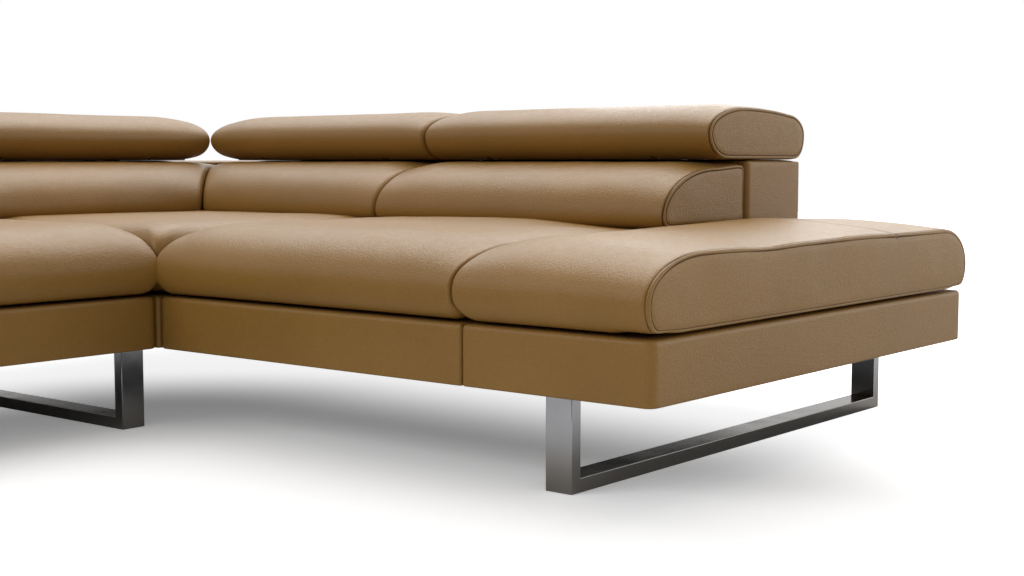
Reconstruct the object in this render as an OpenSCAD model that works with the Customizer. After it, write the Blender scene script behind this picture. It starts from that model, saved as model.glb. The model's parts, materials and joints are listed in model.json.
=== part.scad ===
// Leather corner sofa: two wings of a seat module and an open end module round
// a corner module, on flat sled legs, with a tilting headrest over each back.
// The right wing is drawn from the inner corner, +X along it and +Y to its back,
// and the left wing is its mirror image in the diagonal.

/* [Modules] */
// Width of each open end module
end_w = 426; // [380:1:520]
// Width of each seat module
seat_w = 899; // [820:1:980]
// Depth of every module, front to back
depth = 1300; // [1260:1:1360]
// Gap between neighbouring modules
module_gap = 2; // [1:0.5:4]

/* [Base] */
// Height of the base's underside over the floor
base_z = 177; // [140:1:220]
// Height of the base
base_h = 117; // [100:1:150]
// Thickness of an upholstered base panel
panel_t = 8; // [5:1:12]
// Corner radius of the base at the front of the open ends
open_edge_r = 20; // [10:1:24]
// Corner radius of the base everywhere else
joint_edge_r = 8; // [4:1:12]
// Thickness of a wooden rail
rail_t = 22; // [18:1:30]
// Width of a rail under a back
back_rail_w = 60; // [50:1:80]
// Width of a cross rail over the legs
cross_rail_w = 120; // [112:1:150]
// Depth of a cross rail
cross_rail_h = 60; // [50:1:80]
// Thickness of a webbing strap
strap_t = 2; // [1:0.5:3]
// Width of a webbing strap
strap_w = 60; // [40:1:80]
// Spacing of the webbing straps
strap_pitch = 105; // [90:1:140]
// Thickness of the dust cover
dust_t = 1; // [0.5:0.5:1.5]

/* [Seat cushions] */
// Height of the seat over the floor
seat_top = 453; // [430:1:480]
// Height of the cushion's widest line over the base
seat_roll_h = 61; // [50:1:75]
// Reach of a seat cushion past the front of the base
seat_nose = 15; // [5:1:25]
// Run of the rounded front edge
nose_run = 180; // [120:1:220]
// Run of the rounded rear edge of an open end cushion
tail_run = 125; // [100:1:200]
// Reach of an open end cushion past the front of the base
end_nose = 19; // [10:1:28]
// Reach of an open end cushion past the rear of the base
end_tail = 28; // [10:1:32]
// Lift of the cushion's rim over the base
rim_lift = 10; // [4:1:16]
// Radius of the cushion's lower edge
lower_r = 36; // [30:1:50]
// Radius that draws a cushion in at a joint
joint_r = 22; // [14:1:28]
// Run over which a square cushion's sides round into its top
crown_run = 150; // [100:1:200]
// Drop of the seat towards a joint
joint_drop = 5; // [2:1:8]
// Run of that drop
joint_drop_run = 130; // [90:1:160]
// Gap between neighbouring seat cushions
cushion_gap = 3; // [1:0.5:5]
// Drop of the seat towards the seam of an open end
end_drop = 14; // [6:1:20]
// Run of the drop towards the seam
end_drop_run = 320; // [200:1:360]
// Bulge of an end face past its module's side
side_bulge = 4; // [2:1:8]
// Set of the end seam behind the end face
seam_set = 9; // [7:1:14]

/* [Backs] */
// Set of the backs in front of the base's rear
back_inset = 0; // [0:1:12]
// Thickness of the back
back_t = 256; // [240:1:262]
// Height of the back over the floor
back_top = 588; // [575:1:605]
// Distance from the edges of a back to the crown on its top
crown_in = 22; // [12:1:30]
// Run of the crown's rise at its ends
crown_end_run = 45; // [30:1:80]
// Set of a corner back's crown behind the tip of its headrest
crown_tip = 10; // [5:1:60]
// Depth of a back cushion
pad_depth = 360; // [320:1:400]
// Clearance of a back cushion under the nose of a turning headrest
pad_gap = 0.3; // [0.3:0.1:2]
// Run of the back cushion's rounded front
pad_run = 222; // [180:1:250]
// Radius of the back cushion's other edges
pad_r = 26; // [22:1:34]
// Radius that draws a back cushion in at its ends
pad_end_r = 16; // [10:1:20]
// Fall of a back cushion's top towards a joint
pad_fall = 8; // [6:1:14]
// Fall of a back cushion's top towards its end seam
pad_seam_fall = 10; // [6:1:14]
// Run of a back cushion's falls
pad_fall_run = 120; // [90:1:160]
// Thickness of the wooden boards in the back
board_t = 20; // [16:1:26]
// Distance from the ends of a back to its outer upright boards
upright_in = 60; // [40:1:90]

/* [Headrests] */
// Reach of a headrest past the rear of the back
head_over = 27; // [15:1:35]
// Depth of a headrest
head_depth = 452; // [436:1:462]
// Gap between the back and the lowered headrest
head_lift = 12; // [10:1:16]
// Height of the headrest's widest line over its underside
head_roll_h = 61; // [58:1:66]
// Thickness of a headrest
head_t = 130; // [122:1:140]
// Fall of the headrest's top towards the rear
head_fall = 12; // [6:1:24]
// Run of the headrest's rounded nose
head_nose_run = 167; // [140:1:180]
// Run of the headrest's rounded rear
head_tail_run = 90; // [70:1:110]
// Run of the underside's rise to the nose
head_front_run = 80; // [70:1:90]
// Run of the underside's rise to the rear
head_rear_run = 60; // [45:1:110]
// Fall of a headrest's top towards a joint
head_joint_fall = 8; // [4:1:12]
// Fall of a headrest's top towards its end seam
head_seam_fall = 6; // [3:1:12]
// Run of a headrest's falls
head_fall_run = 100; // [80:1:140]
// Reach of a corner headrest's tip past its neighbour's nose line
head_tip = 8; // [4:1:9]
// Gap between neighbouring headrests
head_gap = 4; // [3:0.5:6]
// Thickness of the headrest's board
head_board_t = 12; // [9:1:12]
// Depth of the headrest's board
head_board_d = 246; // [230:1:248]
// Distance from the ends of a headrest to its board
head_board_in = 38; // [30:1:60]
// Distance from the nose of a headrest to its board
head_board_back = 85; // [80:1:92]

/* [Headrest hinges] */
// Distance from the headrest's nose to the hinge pin
pivot_back = 67; // [62:1:70]
// Radius of the hinge pin
pin_r = 5; // [4:0.5:6]
// Thickness of a pin's head
pin_head_t = 3; // [2:0.5:4]
// Running clearance of the pin, on the radius
pin_clear = 0.05; // [0.02:0.01:0.1]
// Radius of the hub round the pin
hub_r = 10; // [9:0.5:11]
// Thickness of the fixed arm
arm_t = 5; // [4:0.5:6]
// Thickness of a bracket plate
bracket_t = 3; // [2:0.5:4]
// Length of a bracket behind the pin
bracket_l = 118; // [100:1:126]
// Clearance between the hub and the bracket's bridge
bridge_clear = 5; // [4:0.5:6]
// Width of a bracket's screw flange
flange_w = 14; // [10:1:18]
// Length of a bracket's screw flange
flange_l = 60; // [50:1:70]
// Side clearance between arm and bracket
arm_clear = 1; // [0.5:0.25:1.5]
// Distance from each end of a headrest to its hinge
hinge_inset = 190; // [150:1:240]
// Distance from the pin to the fixed foot
foot_back = 166; // [160:1:172]
// Depth of the fixed foot
foot_d = 80; // [70:1:84]
// Width of the fixed foot
foot_w = 60; // [50:1:70]
// Thickness of the fixed foot
foot_t = 3; // [2:0.5:4]
// Length of the arm's seat on its foot
arm_seat = 45; // [38:1:50]
// Height of the arm over its foot
arm_heel = 10; // [8:1:12]
// Room behind the arm in the board's slot
slot_room = 21; // [16:1:26]
// Width of the pocket in the cushion round a hinge
pocket_w = 52; // [44:1:60]
// Clearance of a hinge in its pocket
pocket_clear = 2; // [1:0.5:4]

/* [Legs] */
// Width of the sled tube
tube_w = 59; // [50:1:64]
// Thickness of the sled tube
tube_t = 27; // [22:1:32]
// Wall of the sled tube
tube_wall = 2; // [1.5:0.5:3]
// Distance from a wing's end to its sled
sled_side = 189; // [150:1:200]
// Distance from the front of the base to a sled
sled_front = 28; // [20:1:40]
// Distance from the rear of the base to a sled
sled_rear = 26; // [20:1:40]
// Distance from the corner module to the sled beside it
corner_sled_side = 22; // [20:1:40]
// Width of a leg plate
plate_w = 100; // [92:1:108]
// Depth of a leg plate
plate_d = 100; // [90:1:110]
// Thickness of a leg plate
plate_t = 5; // [4:0.5:8]
// Set of a plate's centre inwards from its upright
plate_in = 20; // [16:1:24]
// Room round a leg plate in the dust cover
plate_room = 2; // [1:0.5:4]
// Radius of a round support leg
support_r = 20; // [16:1:24]
// Distance from a module's sides to a support leg
support_in = 100; // [80:1:120]
// Height of a support leg's glide
glide_h = 8; // [5:1:12]
// Set of the glide's side inside its leg's
glide_in = 1; // [0.5:0.5:3]

/* [Fasteners] */
// Radius of a bolt
bolt_r = 4; // [3:0.5:5]
// Clearance of a bolt in its hole, on the radius
bolt_clear = 0.3; // [0.1:0.1:0.5]
// Height of a bolt head
bolt_head_h = 5; // [4:0.5:6]
// Radius of a bolt head across its corners
bolt_head_r = 7; // [6:0.5:8]
// Length of a leg bolt
leg_bolt_l = 45; // [35:1:50]
// Distance from the edges of a leg plate to its bolts
leg_bolt_edge = 15; // [12:1:18]
// Length of a joining bolt past its nut
bolt_tip = 3; // [2:0.5:5]
// Distance from a base corner to a joining bolt
join_bolt_in = 200; // [150:1:240]
// Distance from the ends of a back to its bolts
back_bolt_in = 190; // [180:1:240]
// Distance from the top of the base down to a joining bolt
join_bolt_drop = 35; // [30:1:40]

/* [Hidden] */

LEATHER = [0.62, 0.46, 0.26];
WOOD = [0.78, 0.64, 0.44];
STEEL = [0.6, 0.61, 0.63];
CHROME = [0.8, 0.8, 0.82];
BLACK = [0.12, 0.12, 0.13];

// Clearance between a soft piece and what it lies on
rest_gap = 0.3;
// Clearance of the wooden frames in their panels
frame_fit = 0.5;
// Overshoot of a cut through a flat face, and of one through a soft form
past = 1;
deep = 20;
half_gap = module_gap / 2;
base_top = base_z + base_h;
rail_z = base_z + plate_t;
wing_l = seat_w + end_w;
back_rear = depth - back_inset;
back_front = back_rear - back_t;
seat_bed = base_top + rest_gap;
seat_rim = base_top + rim_lift;
seat_roll = base_top + seat_roll_h;
head_low = back_top + head_lift;
head_roll = head_low + head_roll_h;
head_top = head_low + head_t;
head_rear = back_rear + head_over;
head_front = head_rear - head_depth;
pivot_y = head_front + pivot_back;
pivot_z = head_roll;
pad_low = seat_top + rest_gap;
pad_top = min(pivot_z - pivot_back, head_low) - pad_gap;
pad_front = back_front - pad_depth;
sled_l = depth - sled_front - sled_rear;

// Plan of each module of the right wing and of the corner: [x0, y0, x1, y1]
END = [seat_w + half_gap, 0, wing_l, depth];
SEAT = [half_gap, 0, seat_w - half_gap, depth];
CORNER = [-depth, 0, -half_gap, depth];

// The object stands at the middle of its own box
far_reach = max(head_rear, depth + end_tail);
shift = (far_reach - wing_l - side_bulge) / 2;

module right_wing() { translate([shift, -shift, 0]) children(); }
module left_wing() { translate([shift, -shift, 0]) mirror([1, 1, 0]) children(); }
module both_wings() {
    right_wing() children();
    left_wing() children();
}

// Turns a drawing in Y and Z into a plate across X, centred on x
module across(x, thick) {
    translate([x, 0, 0]) rotate([90, 0, 90])
        linear_extrude(height = thick, center = true) children();
}
module rod_x(x0, x1, y, z, r) {
    translate([x0, y, z]) rotate([0, 90, 0]) cylinder(h = x1 - x0, r = r, $fn = 32);
}
module box(a, b) { translate(a) cube(b - a); }

// Points of an elliptic arc round c, with radii r, from angle a0 to a1 in n steps
function arc(c, r, a0, a1, n) =
    [for (i = [0:n]) let (a = a0 + (a1 - a0) * i / n) [c.x + r.x * cos(a), c.y + r.y * sin(a)]];
function tail(list) = [for (i = [1:len(list) - 1]) list[i]];
function backwards(list) = [for (i = [len(list) - 1:-1:0]) list[i]];
function flat(lists) = [for (l = lists) for (p = l) p];

// Rounded rectangle in plan: box b and one radius for each corner,
// front left, front right, rear right, rear left
function rounded(b, r) = concat(
    arc([b[0] + r[0], b[1] + r[0]], [r[0], r[0]], 180, 270, 5),
    arc([b[2] - r[1], b[1] + r[1]], [r[1], r[1]], 270, 360, 5),
    arc([b[2] - r[2], b[3] - r[2]], [r[2], r[2]], 0, 90, 5),
    arc([b[0] + r[3], b[3] - r[3]], [r[3], r[3]], 90, 180, 5));

// Soft forms are closed lofts. A section is a ring of [y, z] points, anticlockwise
// seen from +X, and inset() moves it inwards by e.
function inset(ring, e) = let (n = len(ring)) [for (i = [0:n - 1])
    let (t = ring[(i + 1) % n] - ring[(i + n - 1) % n]) ring[i] - e * [t.y, -t.x] / norm(t)];
function mean(ring) = [for (p = ring) 1] * ring / len(ring);

// Distance from the end and inset of the sections that round a cushion's end
function joint_end(r) = [for (a = [0, 28, 58, 90]) [r * (1 - cos(a)), r * (1 - sin(a))]];
function seam_end(set) = [[0, joint_r], [set * 0.35, set], [set * 0.7, set * 0.2], [set, set * 0.35],
    [set * 1.6, 0]];

module loft(rings, low_cap, high_cap) {
    n = len(rings[0]);
    m = len(rings);
    sides = [for (j = [0:m - 2]) for (i = [0:n - 1])
        let (a = j * n + i, b = j * n + (i + 1) % n, c = b + n, d = a + n) each [[a, d, c], [a, c, b]]];
    low_fan = [for (i = [0:n - 1]) [n * m, i, (i + 1) % n]];
    high_fan = [for (i = [0:n - 1]) [n * m + 1, n * (m - 1) + (i + 1) % n, n * (m - 1) + i]];
    polyhedron(points = concat(flat(rings), [low_cap, high_cap]),
        faces = concat(sides, low_fan, high_fan));
}

// A cushion along X from x0 to x1. Its low end is square, or cut on the mitre
// plane x = -y where mitre is true. roll and top bound the part of the section
// that falls by fall(x) near the ends.
module long_cushion(section, x0, x1, low, high, mitre, roll, top, joint_fall, seam_fall, bulge) {
    mids = [0.3, 0.5, 0.7];
    run = x1 - x0;
    stations = concat(
        [for (s = low) [s[0], s[1], 0]],
        [for (f = mids) [f, 0, 1]],
        backwards([for (s = high) [s[0], s[1], 2]]));
    function start(y) = mitre ? -y + x0 : x0;
    function place(s, y) = s[2] == 0 ? start(y) + s[0]
        : s[2] == 1 ? start(y) + s[0] * (x1 - start(y)) : x1 - s[0];
    function near(s) = s[2] == 0 ? [s[0], run] : s[2] == 1 ? [s[0] * run, (1 - s[0]) * run] : [run, s[0]];
    function soft(d, fall) = fall[0] * pow(max(0, 1 - d / fall[1]), 2);
    function drop(s) = let (d = near(s)) soft(d[0], joint_fall) + soft(d[1], seam_fall);
    function sink(z, d) = z > roll ? z - d * (z - roll) / (top - roll) : z;
    rings = [for (s = stations) [for (p = inset(section, s[1])) [place(s, p.x), p.x, sink(p.y, drop(s))]]];
    c0 = mean(rings[0]);
    c1 = mean(rings[len(rings) - 1]);
    loft(rings, c0 - [bulge[0], 0, 0], c1 + [bulge[1], 0, 0]);
}

// Bases

BASE_R = [joint_edge_r, joint_edge_r, joint_edge_r, joint_edge_r];
END_R = [joint_edge_r, open_edge_r, joint_edge_r, joint_edge_r];
function inner(b, t) = [b[0] + t, b[1] + t, b[2] - t, b[3] - t];

// Four upholstered panels: front and rear ones with short returns, sides between
module base_panels(b, r) {
    return_d = 1.2 * open_edge_r;
    hole = inner(b, panel_t);
    module wall() {
        translate([0, 0, base_z]) linear_extrude(height = base_h) difference() {
            polygon(rounded(b, r));
            polygon([[hole[0], hole[1]], [hole[2], hole[1]], [hole[2], hole[3]], [hole[0], hole[3]]]);
        }
    }
    module slice(y0, y1) {
        intersection() {
            wall();
            box([b[0] - past, y0, base_z - past], [b[2] + past, y1, base_top + past]);
        }
    }
    difference() {
        union() {
            slice(b[1] - past, b[1] + return_d);
            slice(b[1] + return_d + rest_gap, b[3] - return_d - rest_gap);
            slice(b[3] - return_d, b[3] + past);
        }
        children();
    }
}

// Bolt lines across the joints at x = 0 and x = seat_w of the right wing
bolt_z = base_top - join_bolt_drop;
ring_in = panel_t + frame_fit + rail_t;
join_reach = half_gap + ring_in;
module join_holes(x) {
    for (y = [join_bolt_in, depth - join_bolt_in])
        rod_x(x - join_reach - past, x + join_reach + past, y, bolt_z, bolt_r + bolt_clear);
}
module join_bolts(x) {
    for (y = [join_bolt_in, depth - join_bolt_in]) {
        rod_x(x - join_reach - bolt_head_h - bolt_tip, x + join_reach + rest_gap, y, bolt_z, bolt_r);
        for (side = [-1, 1])
            translate([x + side * (join_reach + rest_gap + bolt_head_h / 2), y, bolt_z])
                rotate([0, 90, 0]) cylinder(h = bolt_head_h, r = bolt_head_r, center = true, $fn = 6);
    }
}

// Plates over the legs, as [x, y, inward]: the centre, and the way along Y from
// the upright to the two bolts
end_leg_x = wing_l - sled_side - tube_w / 2;
mid_leg_x = corner_sled_side + tube_w / 2;
mid_plate_x = max(mid_leg_x, half_gap + panel_t + frame_fit + plate_room + plate_w / 2);
plate_y0 = sled_front + tube_t / 2 + plate_in;
plate_y1 = sled_front + sled_l - tube_t / 2 - plate_in;
end_plates = [[end_leg_x, plate_y0, 1], [end_leg_x, plate_y1, -1]];
mid_plates = [[mid_plate_x, plate_y0, 1], [mid_plate_x, plate_y1, -1]];
rear_support = [support_in, depth - support_in, -1];
corner_support = [-depth + support_in, depth - support_in, -1];
function leg_bolt_places(c) =
    [for (s = [-1, 1]) [c.x + s * (plate_w / 2 - leg_bolt_edge), c.y + c.z * (plate_d / 2 - leg_bolt_edge)]];
module leg_bolt_holes(c) {
    for (p = leg_bolt_places(c))
        translate([p.x, p.y, base_z - past])
            cylinder(h = leg_bolt_l + 3 * past, r = bolt_r + bolt_clear, $fn = 32);
}
back_rail_y = (back_front + back_rear) / 2;
back_bolt_l = cross_rail_h + board_t;
function back_bolt_xs(x0, x1) = [x0 + back_bolt_in, x1 - back_bolt_in];
module back_bolt_holes(xs) {
    for (x = xs) translate([x, back_rail_y, base_top - cross_rail_h - past])
        cylinder(h = back_bolt_l + 2 * past, r = bolt_r + bolt_clear, $fn = 32);
}

// A ring of rails, lower cross rails over the legs and a rail under the back
module base_rails(b, leg_xs, back) {
    o = inner(b, panel_t + frame_fit);
    i = inner(b, ring_in);
    top = base_top - strap_t;
    difference() {
        box([o[0], o[1], rail_z], [o[2], o[3], top]);
        box([i[0], i[1], rail_z - past], [i[2], i[3], top + past]);
    }
    for (x = leg_xs)
        box([max(x - cross_rail_w / 2, i[0] - past), i[1] - past, rail_z],
            [min(x + cross_rail_w / 2, i[2] + past), i[3] + past, rail_z + cross_rail_h]);
    if (back)
        box([i[0] - past, back_rail_y - back_rail_w / 2, base_top - cross_rail_h],
            [i[2] + past, back_rail_y + back_rail_w / 2, base_top]);
}

// Straps from front to rear over the rails of one module
module straps(b, y_end) {
    o = inner(b, panel_t + frame_fit);
    room = o[2] - o[0] - strap_w;
    n = floor(room / strap_pitch);
    for (k = [0:n])
        translate([o[0] + (room - n * strap_pitch) / 2 + k * strap_pitch, o[1], base_top - strap_t])
            cube([strap_w, y_end - o[1], strap_t]);
}

// Thin cloth under one module, open round the leg plates
module dust_cover(b, plates) {
    c = inner(b, panel_t + frame_fit);
    difference() {
        box([c[0], c[1], rail_z - dust_t], [c[2], c[3], rail_z]);
        for (p = plates) translate([p.x, p.y, rail_z])
            cube([plate_w + 2 * plate_room, plate_d + 2 * plate_room, 4 * dust_t], center = true);
    }
}

// Seat cushions

// Widths of the flat bed and of the rim, in from a cushion's edge
bed_in = 95;
rim_in = 62;
function seat_section(front, rear, rear_run) = concat(
    [[front + bed_in, seat_bed], [rear - bed_in, seat_bed], [rear - rim_in, seat_rim]],
    arc([rear - lower_r, seat_roll], [lower_r, seat_roll - seat_rim], 270, 360, 3),
    tail(arc([rear - rear_run, seat_roll], [rear_run, seat_top - seat_roll], 0, 90, 6)),
    arc([front + nose_run, seat_roll], [nose_run, seat_top - seat_roll], 90, 180, 7),
    tail(arc([front + lower_r, seat_roll], [lower_r, seat_roll - seat_rim], 180, 270, 3)),
    [[front + rim_in, seat_rim]]);
joint_dip = [joint_drop, joint_drop_run];

module seat_cushion() {
    color(LEATHER) long_cushion(seat_section(-seat_nose, back_front - rest_gap, lower_r),
        cushion_gap / 2, seat_w - cushion_gap / 2, joint_end(joint_r), joint_end(joint_r), false,
        seat_roll, seat_top, joint_dip, joint_dip, [0, 0]);
}
module seat_cushion_end() {
    x1 = wing_l + side_bulge / 2;
    color(LEATHER) long_cushion(seat_section(-end_nose, depth + end_tail, tail_run),
        seat_w + cushion_gap / 2, x1, joint_end(joint_r), seam_end(seam_set), false,
        seat_roll, seat_top, joint_dip, [end_drop, end_drop_run], [0, side_bulge / 2]);
}
// A square crowned cushion, built up in layers of [height, inset]
module seat_cushion_square() {
    far = -back_front + rest_gap;
    near = -cushion_gap / 2;
    side = 4;
    layers = concat([[seat_bed, bed_in], [seat_rim, rim_in]],
        [for (a = [270:30:360]) [seat_roll + (seat_roll - seat_rim) * sin(a), lower_r * (1 - cos(a))]],
        [for (u = [0.36, 0.6, 0.8, 0.92, 0.98, 1])
            [seat_roll + (seat_top - seat_roll) * u, crown_run * (1 - pow(1 - pow(u, side), 1 / side))]]);
    function layer(l) = let (e = l[1], r = max(joint_r * 2 - e, joint_r / 3))
        [for (p = rounded([far + e, -near + e, near - e, -far - e], [r, r, r, r])) [p.x, p.y, l[0]]];
    rings = [for (l = layers) layer(l)];
    middle = [(far + near) / 2, -(far + near) / 2, 0];
    color(LEATHER) loft(rings, middle + [0, 0, seat_bed], middle + [0, 0, seat_top]);
}

// Backs

// Plan of a back between two depths: square ends, or mitred at its low end
function back_plan(y0, y1, x1, mitre) = mitre
    ? [[-y0 + half_gap, y0], [x1, y0], [x1, y1], [-y1 + half_gap, y1]]
    : [[half_gap, y0], [x1, y0], [x1, y1], [half_gap, y1]];
module slab(plan, z0, z1) { translate([0, 0, z0]) linear_extrude(height = z1 - z0) polygon(plan); }

// A crown in the plane of a panel's length: it rises over run from both ends
function crown_line(a, b, run, rise) = concat([[a, back_top - past]],
    arc([a + run, back_top], [run, rise], 180, 90, 3), arc([b - run, back_top], [run, rise], 90, 0, 3),
    [[b, back_top - past]]);
// The padding on a back's top, up to the lowered headrest, with room for the hinges
module back_crown(x0, x1, ends) {
    y0 = back_front + crown_in;
    y1 = back_rear - crown_in;
    rise = head_lift - rest_gap;
    difference() {
        intersection() {
            across((x0 + x1) / 2, x1 - x0) polygon(crown_line(y0, y1, (y1 - y0) * 0.45, rise));
            translate([0, y1, 0]) rotate([90, 0, 0]) linear_extrude(height = y1 - y0)
                polygon(crown_line(x0, x1, crown_end_run, rise));
        }
        for (x = hinge_xs(ends))
            box([x - foot_w / 2 - pocket_clear, y0 - past, back_top],
                [x + foot_w / 2 + pocket_clear, foot_y + foot_d + pocket_clear, head_low]);
    }
}
// Front, rear and top panels with end panels between them
module back_panels(x1, mitre, ends) {
    t = panel_t;
    g = rest_gap;
    under_top = back_top - t - g;
    slab(back_plan(back_front, back_front + t, x1, mitre), base_top, under_top);
    slab(back_plan(back_rear - t, back_rear, x1, mitre), base_top, under_top);
    slab(back_plan(back_front, back_rear, x1, mitre), back_top - t, back_top);
    back_crown(mitre ? ends[0] + crown_tip : half_gap + crown_in, x1 - crown_in, ends);
    for (x = mitre ? [x1 - t] : [half_gap, x1 - t])
        box([x, back_front + t + g, base_top], [x + t, back_rear - t - g, under_top]);
}
function uprights(x0, x1) = [x0 + upright_in, (x0 + x1 - board_t) / 2, x1 - upright_in - board_t];
// Boards at the bottom and the top, with upright boards between them
module back_frame(x1, mitre, xs) {
    y0 = back_front + panel_t + frame_fit;
    y1 = back_rear - panel_t - frame_fit;
    z1 = back_top - panel_t - frame_fit;
    xe = x1 - panel_t - frame_fit;
    x0 = half_gap + panel_t + frame_fit;
    plan = mitre ? back_plan(y0, y1, xe, true) : [[x0, y0], [xe, y0], [xe, y1], [x0, y1]];
    difference() {
        union() {
            slab(plan, base_top, base_top + board_t);
            slab(plan, z1 - board_t, z1);
            for (x = xs)
                box([x, y0, base_top + board_t - past], [x + board_t, y1, z1 - board_t + past]);
        }
        children();
    }
}

pad_rear = back_front - rest_gap;
pad_roll = pad_low + pad_r;
pad_section = concat(
    arc([pad_rear - pad_r, pad_roll], [pad_r, pad_r], 270, 360, 4),
    arc([pad_rear - pad_r, pad_top - pad_r], [pad_r, pad_r], 0, 90, 4),
    arc([pad_front + pad_run, pad_roll], [pad_run, pad_top - pad_roll], 90, 180, 8),
    tail(arc([pad_front + pad_r, pad_roll], [pad_r, pad_r], 180, 270, 4)));
module back_cushion(x1, mitre, seamed) {
    high = seamed ? seam_end(seam_set) : joint_end(pad_end_r);
    x0 = mitre ? module_gap : cushion_gap / 2;
    color(LEATHER) long_cushion(pad_section, x0, x1 - cushion_gap / 2, joint_end(pad_end_r), high, mitre,
        pad_roll, pad_top, [pad_fall, pad_fall_run],
        [seamed ? pad_seam_fall : pad_fall, pad_fall_run], [0, seamed ? 1 : 0]);
}

// Headrests

head_section = concat(
    arc([head_rear - head_rear_run, head_roll], [head_rear_run, head_roll_h], 270, 360, 4),
    tail(arc([head_rear - head_tail_run, head_roll], [head_tail_run, head_top - head_fall - head_roll],
        0, 90, 5)),
    arc([head_front + head_nose_run, head_roll], [head_nose_run, head_top - head_roll], 90, 180, 7),
    tail(arc([head_front + head_front_run, head_roll], [head_front_run, head_roll_h], 180, 270, 5)));
// Ends of the headrest over the seat module, and of the one beside the corner
HEAD = [head_gap / 2, seat_w - head_gap / 2];
HEAD_CORNER = [-head_front - head_tip, -head_gap / 2];
function hinge_xs(ends) = [ends[0] + hinge_inset, ends[1] - hinge_inset];

foot_y = pivot_y + foot_back;
bracket_in = arm_t / 2 + arm_clear;
bracket_out = bracket_in + bracket_t;
bridge_z = pivot_z + hub_r + bridge_clear;
bracket_top = bridge_z + bracket_t;
bracket_rear = pivot_y + bracket_l;
board_top = head_low + head_board_t;
board_y0 = head_front + head_board_back;
board_y1 = board_y0 + head_board_d;
slot_end = foot_y + arm_seat + slot_room;
// Room for the hinge in the underside of the cushion
module hinge_pocket(x) {
    front = pivot_y - 2.5 * hub_r;
    rear = bracket_rear + 2 * pocket_clear;
    arm_z = board_top + 2 * pocket_clear;
    across(x, pocket_w) polygon([[front, head_low - deep], [front, bracket_top + pocket_clear],
        [rear, bracket_top + pocket_clear], [rear, arm_z + 3.4 * hub_r], [slot_end, arm_z + 0.4 * hub_r],
        [slot_end, head_low - deep]]);
}
module headrest_cushion(ends, seamed) {
    high = seamed ? seam_end(seam_set) : joint_end(pad_end_r);
    color(LEATHER) difference() {
        long_cushion(head_section, ends[0], ends[1], joint_end(pad_end_r), high, false,
            head_roll, head_top, [head_joint_fall, head_fall_run],
            [seamed ? head_seam_fall : head_joint_fall, head_fall_run], [0, seamed ? 1 : 0]);
        box([ends[0] + head_board_in, board_y0 - rest_gap, head_low - deep],
            [ends[1] - head_board_in, board_y1 + rest_gap, board_top + rest_gap]);
        for (x = hinge_xs(ends)) hinge_pocket(x);
    }
}
module head_cushion_seat() { headrest_cushion(HEAD, true); }
module head_cushion_corner() { headrest_cushion(HEAD_CORNER, false); }
module headrest_board(ends) {
    set = head_board_in + rest_gap;
    color(WOOD) difference() {
        box([ends[0] + set, board_y0, head_low], [ends[1] - set, board_y1, board_top]);
        for (x = hinge_xs(ends))
            box([x - bracket_in, board_y0 - past, head_low - past],
                [x + bracket_in, slot_end, board_top + past]);
    }
}

// Hinges: an arm that stands on the back, and a bracket on the headrest's board
module hinge_arms(ends) {
    foot_mid = back_top + foot_t / 2;
    color(STEEL) for (x = hinge_xs(ends)) difference() {
        union() {
            across(x, arm_t) {
                translate([pivot_y, pivot_z]) circle(r = hub_r, $fn = 40);
                polygon([[pivot_y + 0.3 * hub_r, pivot_z + 0.95 * hub_r],
                    [foot_y + arm_seat, back_top + foot_t + arm_heel], [foot_y + arm_seat, foot_mid],
                    [foot_y, foot_mid], [pivot_y - 0.3 * hub_r, pivot_z - 0.95 * hub_r]]);
            }
            box([x - foot_w / 2, foot_y, back_top], [x + foot_w / 2, foot_y + foot_d, back_top + foot_t]);
        }
        rod_x(x - arm_t, x + arm_t, pivot_y, pivot_z, pin_r + pin_clear);
    }
}
module bracket_side(x) {
    across(x, bracket_t) {
        translate([pivot_y, pivot_z]) circle(r = hub_r, $fn = 40);
        polygon([[pivot_y - 0.4 * hub_r, pivot_z - 0.9 * hub_r], [board_y0 + flange_w, board_top],
            [bracket_rear, board_top], [bracket_rear, bracket_top],
            [pivot_y + 0.6 * hub_r, bracket_top], [pivot_y - 0.4 * hub_r, pivot_z + 0.9 * hub_r]]);
    }
}
module hinge_brackets(ends) {
    flange_z = board_top + bracket_t;
    bridge_y = pivot_y + 0.8 * hub_r;
    color(STEEL) for (x = hinge_xs(ends)) difference() {
        union() {
            for (side = [-1, 1]) {
                bracket_side(x + side * (bracket_in + bracket_t / 2));
                translate([x + side * (bracket_in + flange_w / 2), bracket_rear - flange_l / 2, 0])
                    box([-flange_w / 2, -flange_l / 2, board_top], [flange_w / 2, flange_l / 2, flange_z]);
            }
            box([x - bracket_out, bridge_y, bridge_z], [x + bracket_out, bracket_rear, bracket_top]);
        }
        rod_x(x - bracket_out - past, x + bracket_out + past, pivot_y, pivot_z, pin_r + pin_clear);
    }
}
module hinge_pins(ends) {
    half = bracket_out + rest_gap;
    color(CHROME) for (x = hinge_xs(ends)) {
        rod_x(x - half, x + half, pivot_y, pivot_z, pin_r);
        for (side = [-1, 1])
            translate([x + side * (half + pin_head_t / 2), pivot_y, pivot_z]) rotate([0, 90, 0])
                cylinder(h = pin_head_t, r = 0.8 * hub_r, center = true, $fn = 32);
    }
}

// Legs

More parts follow.
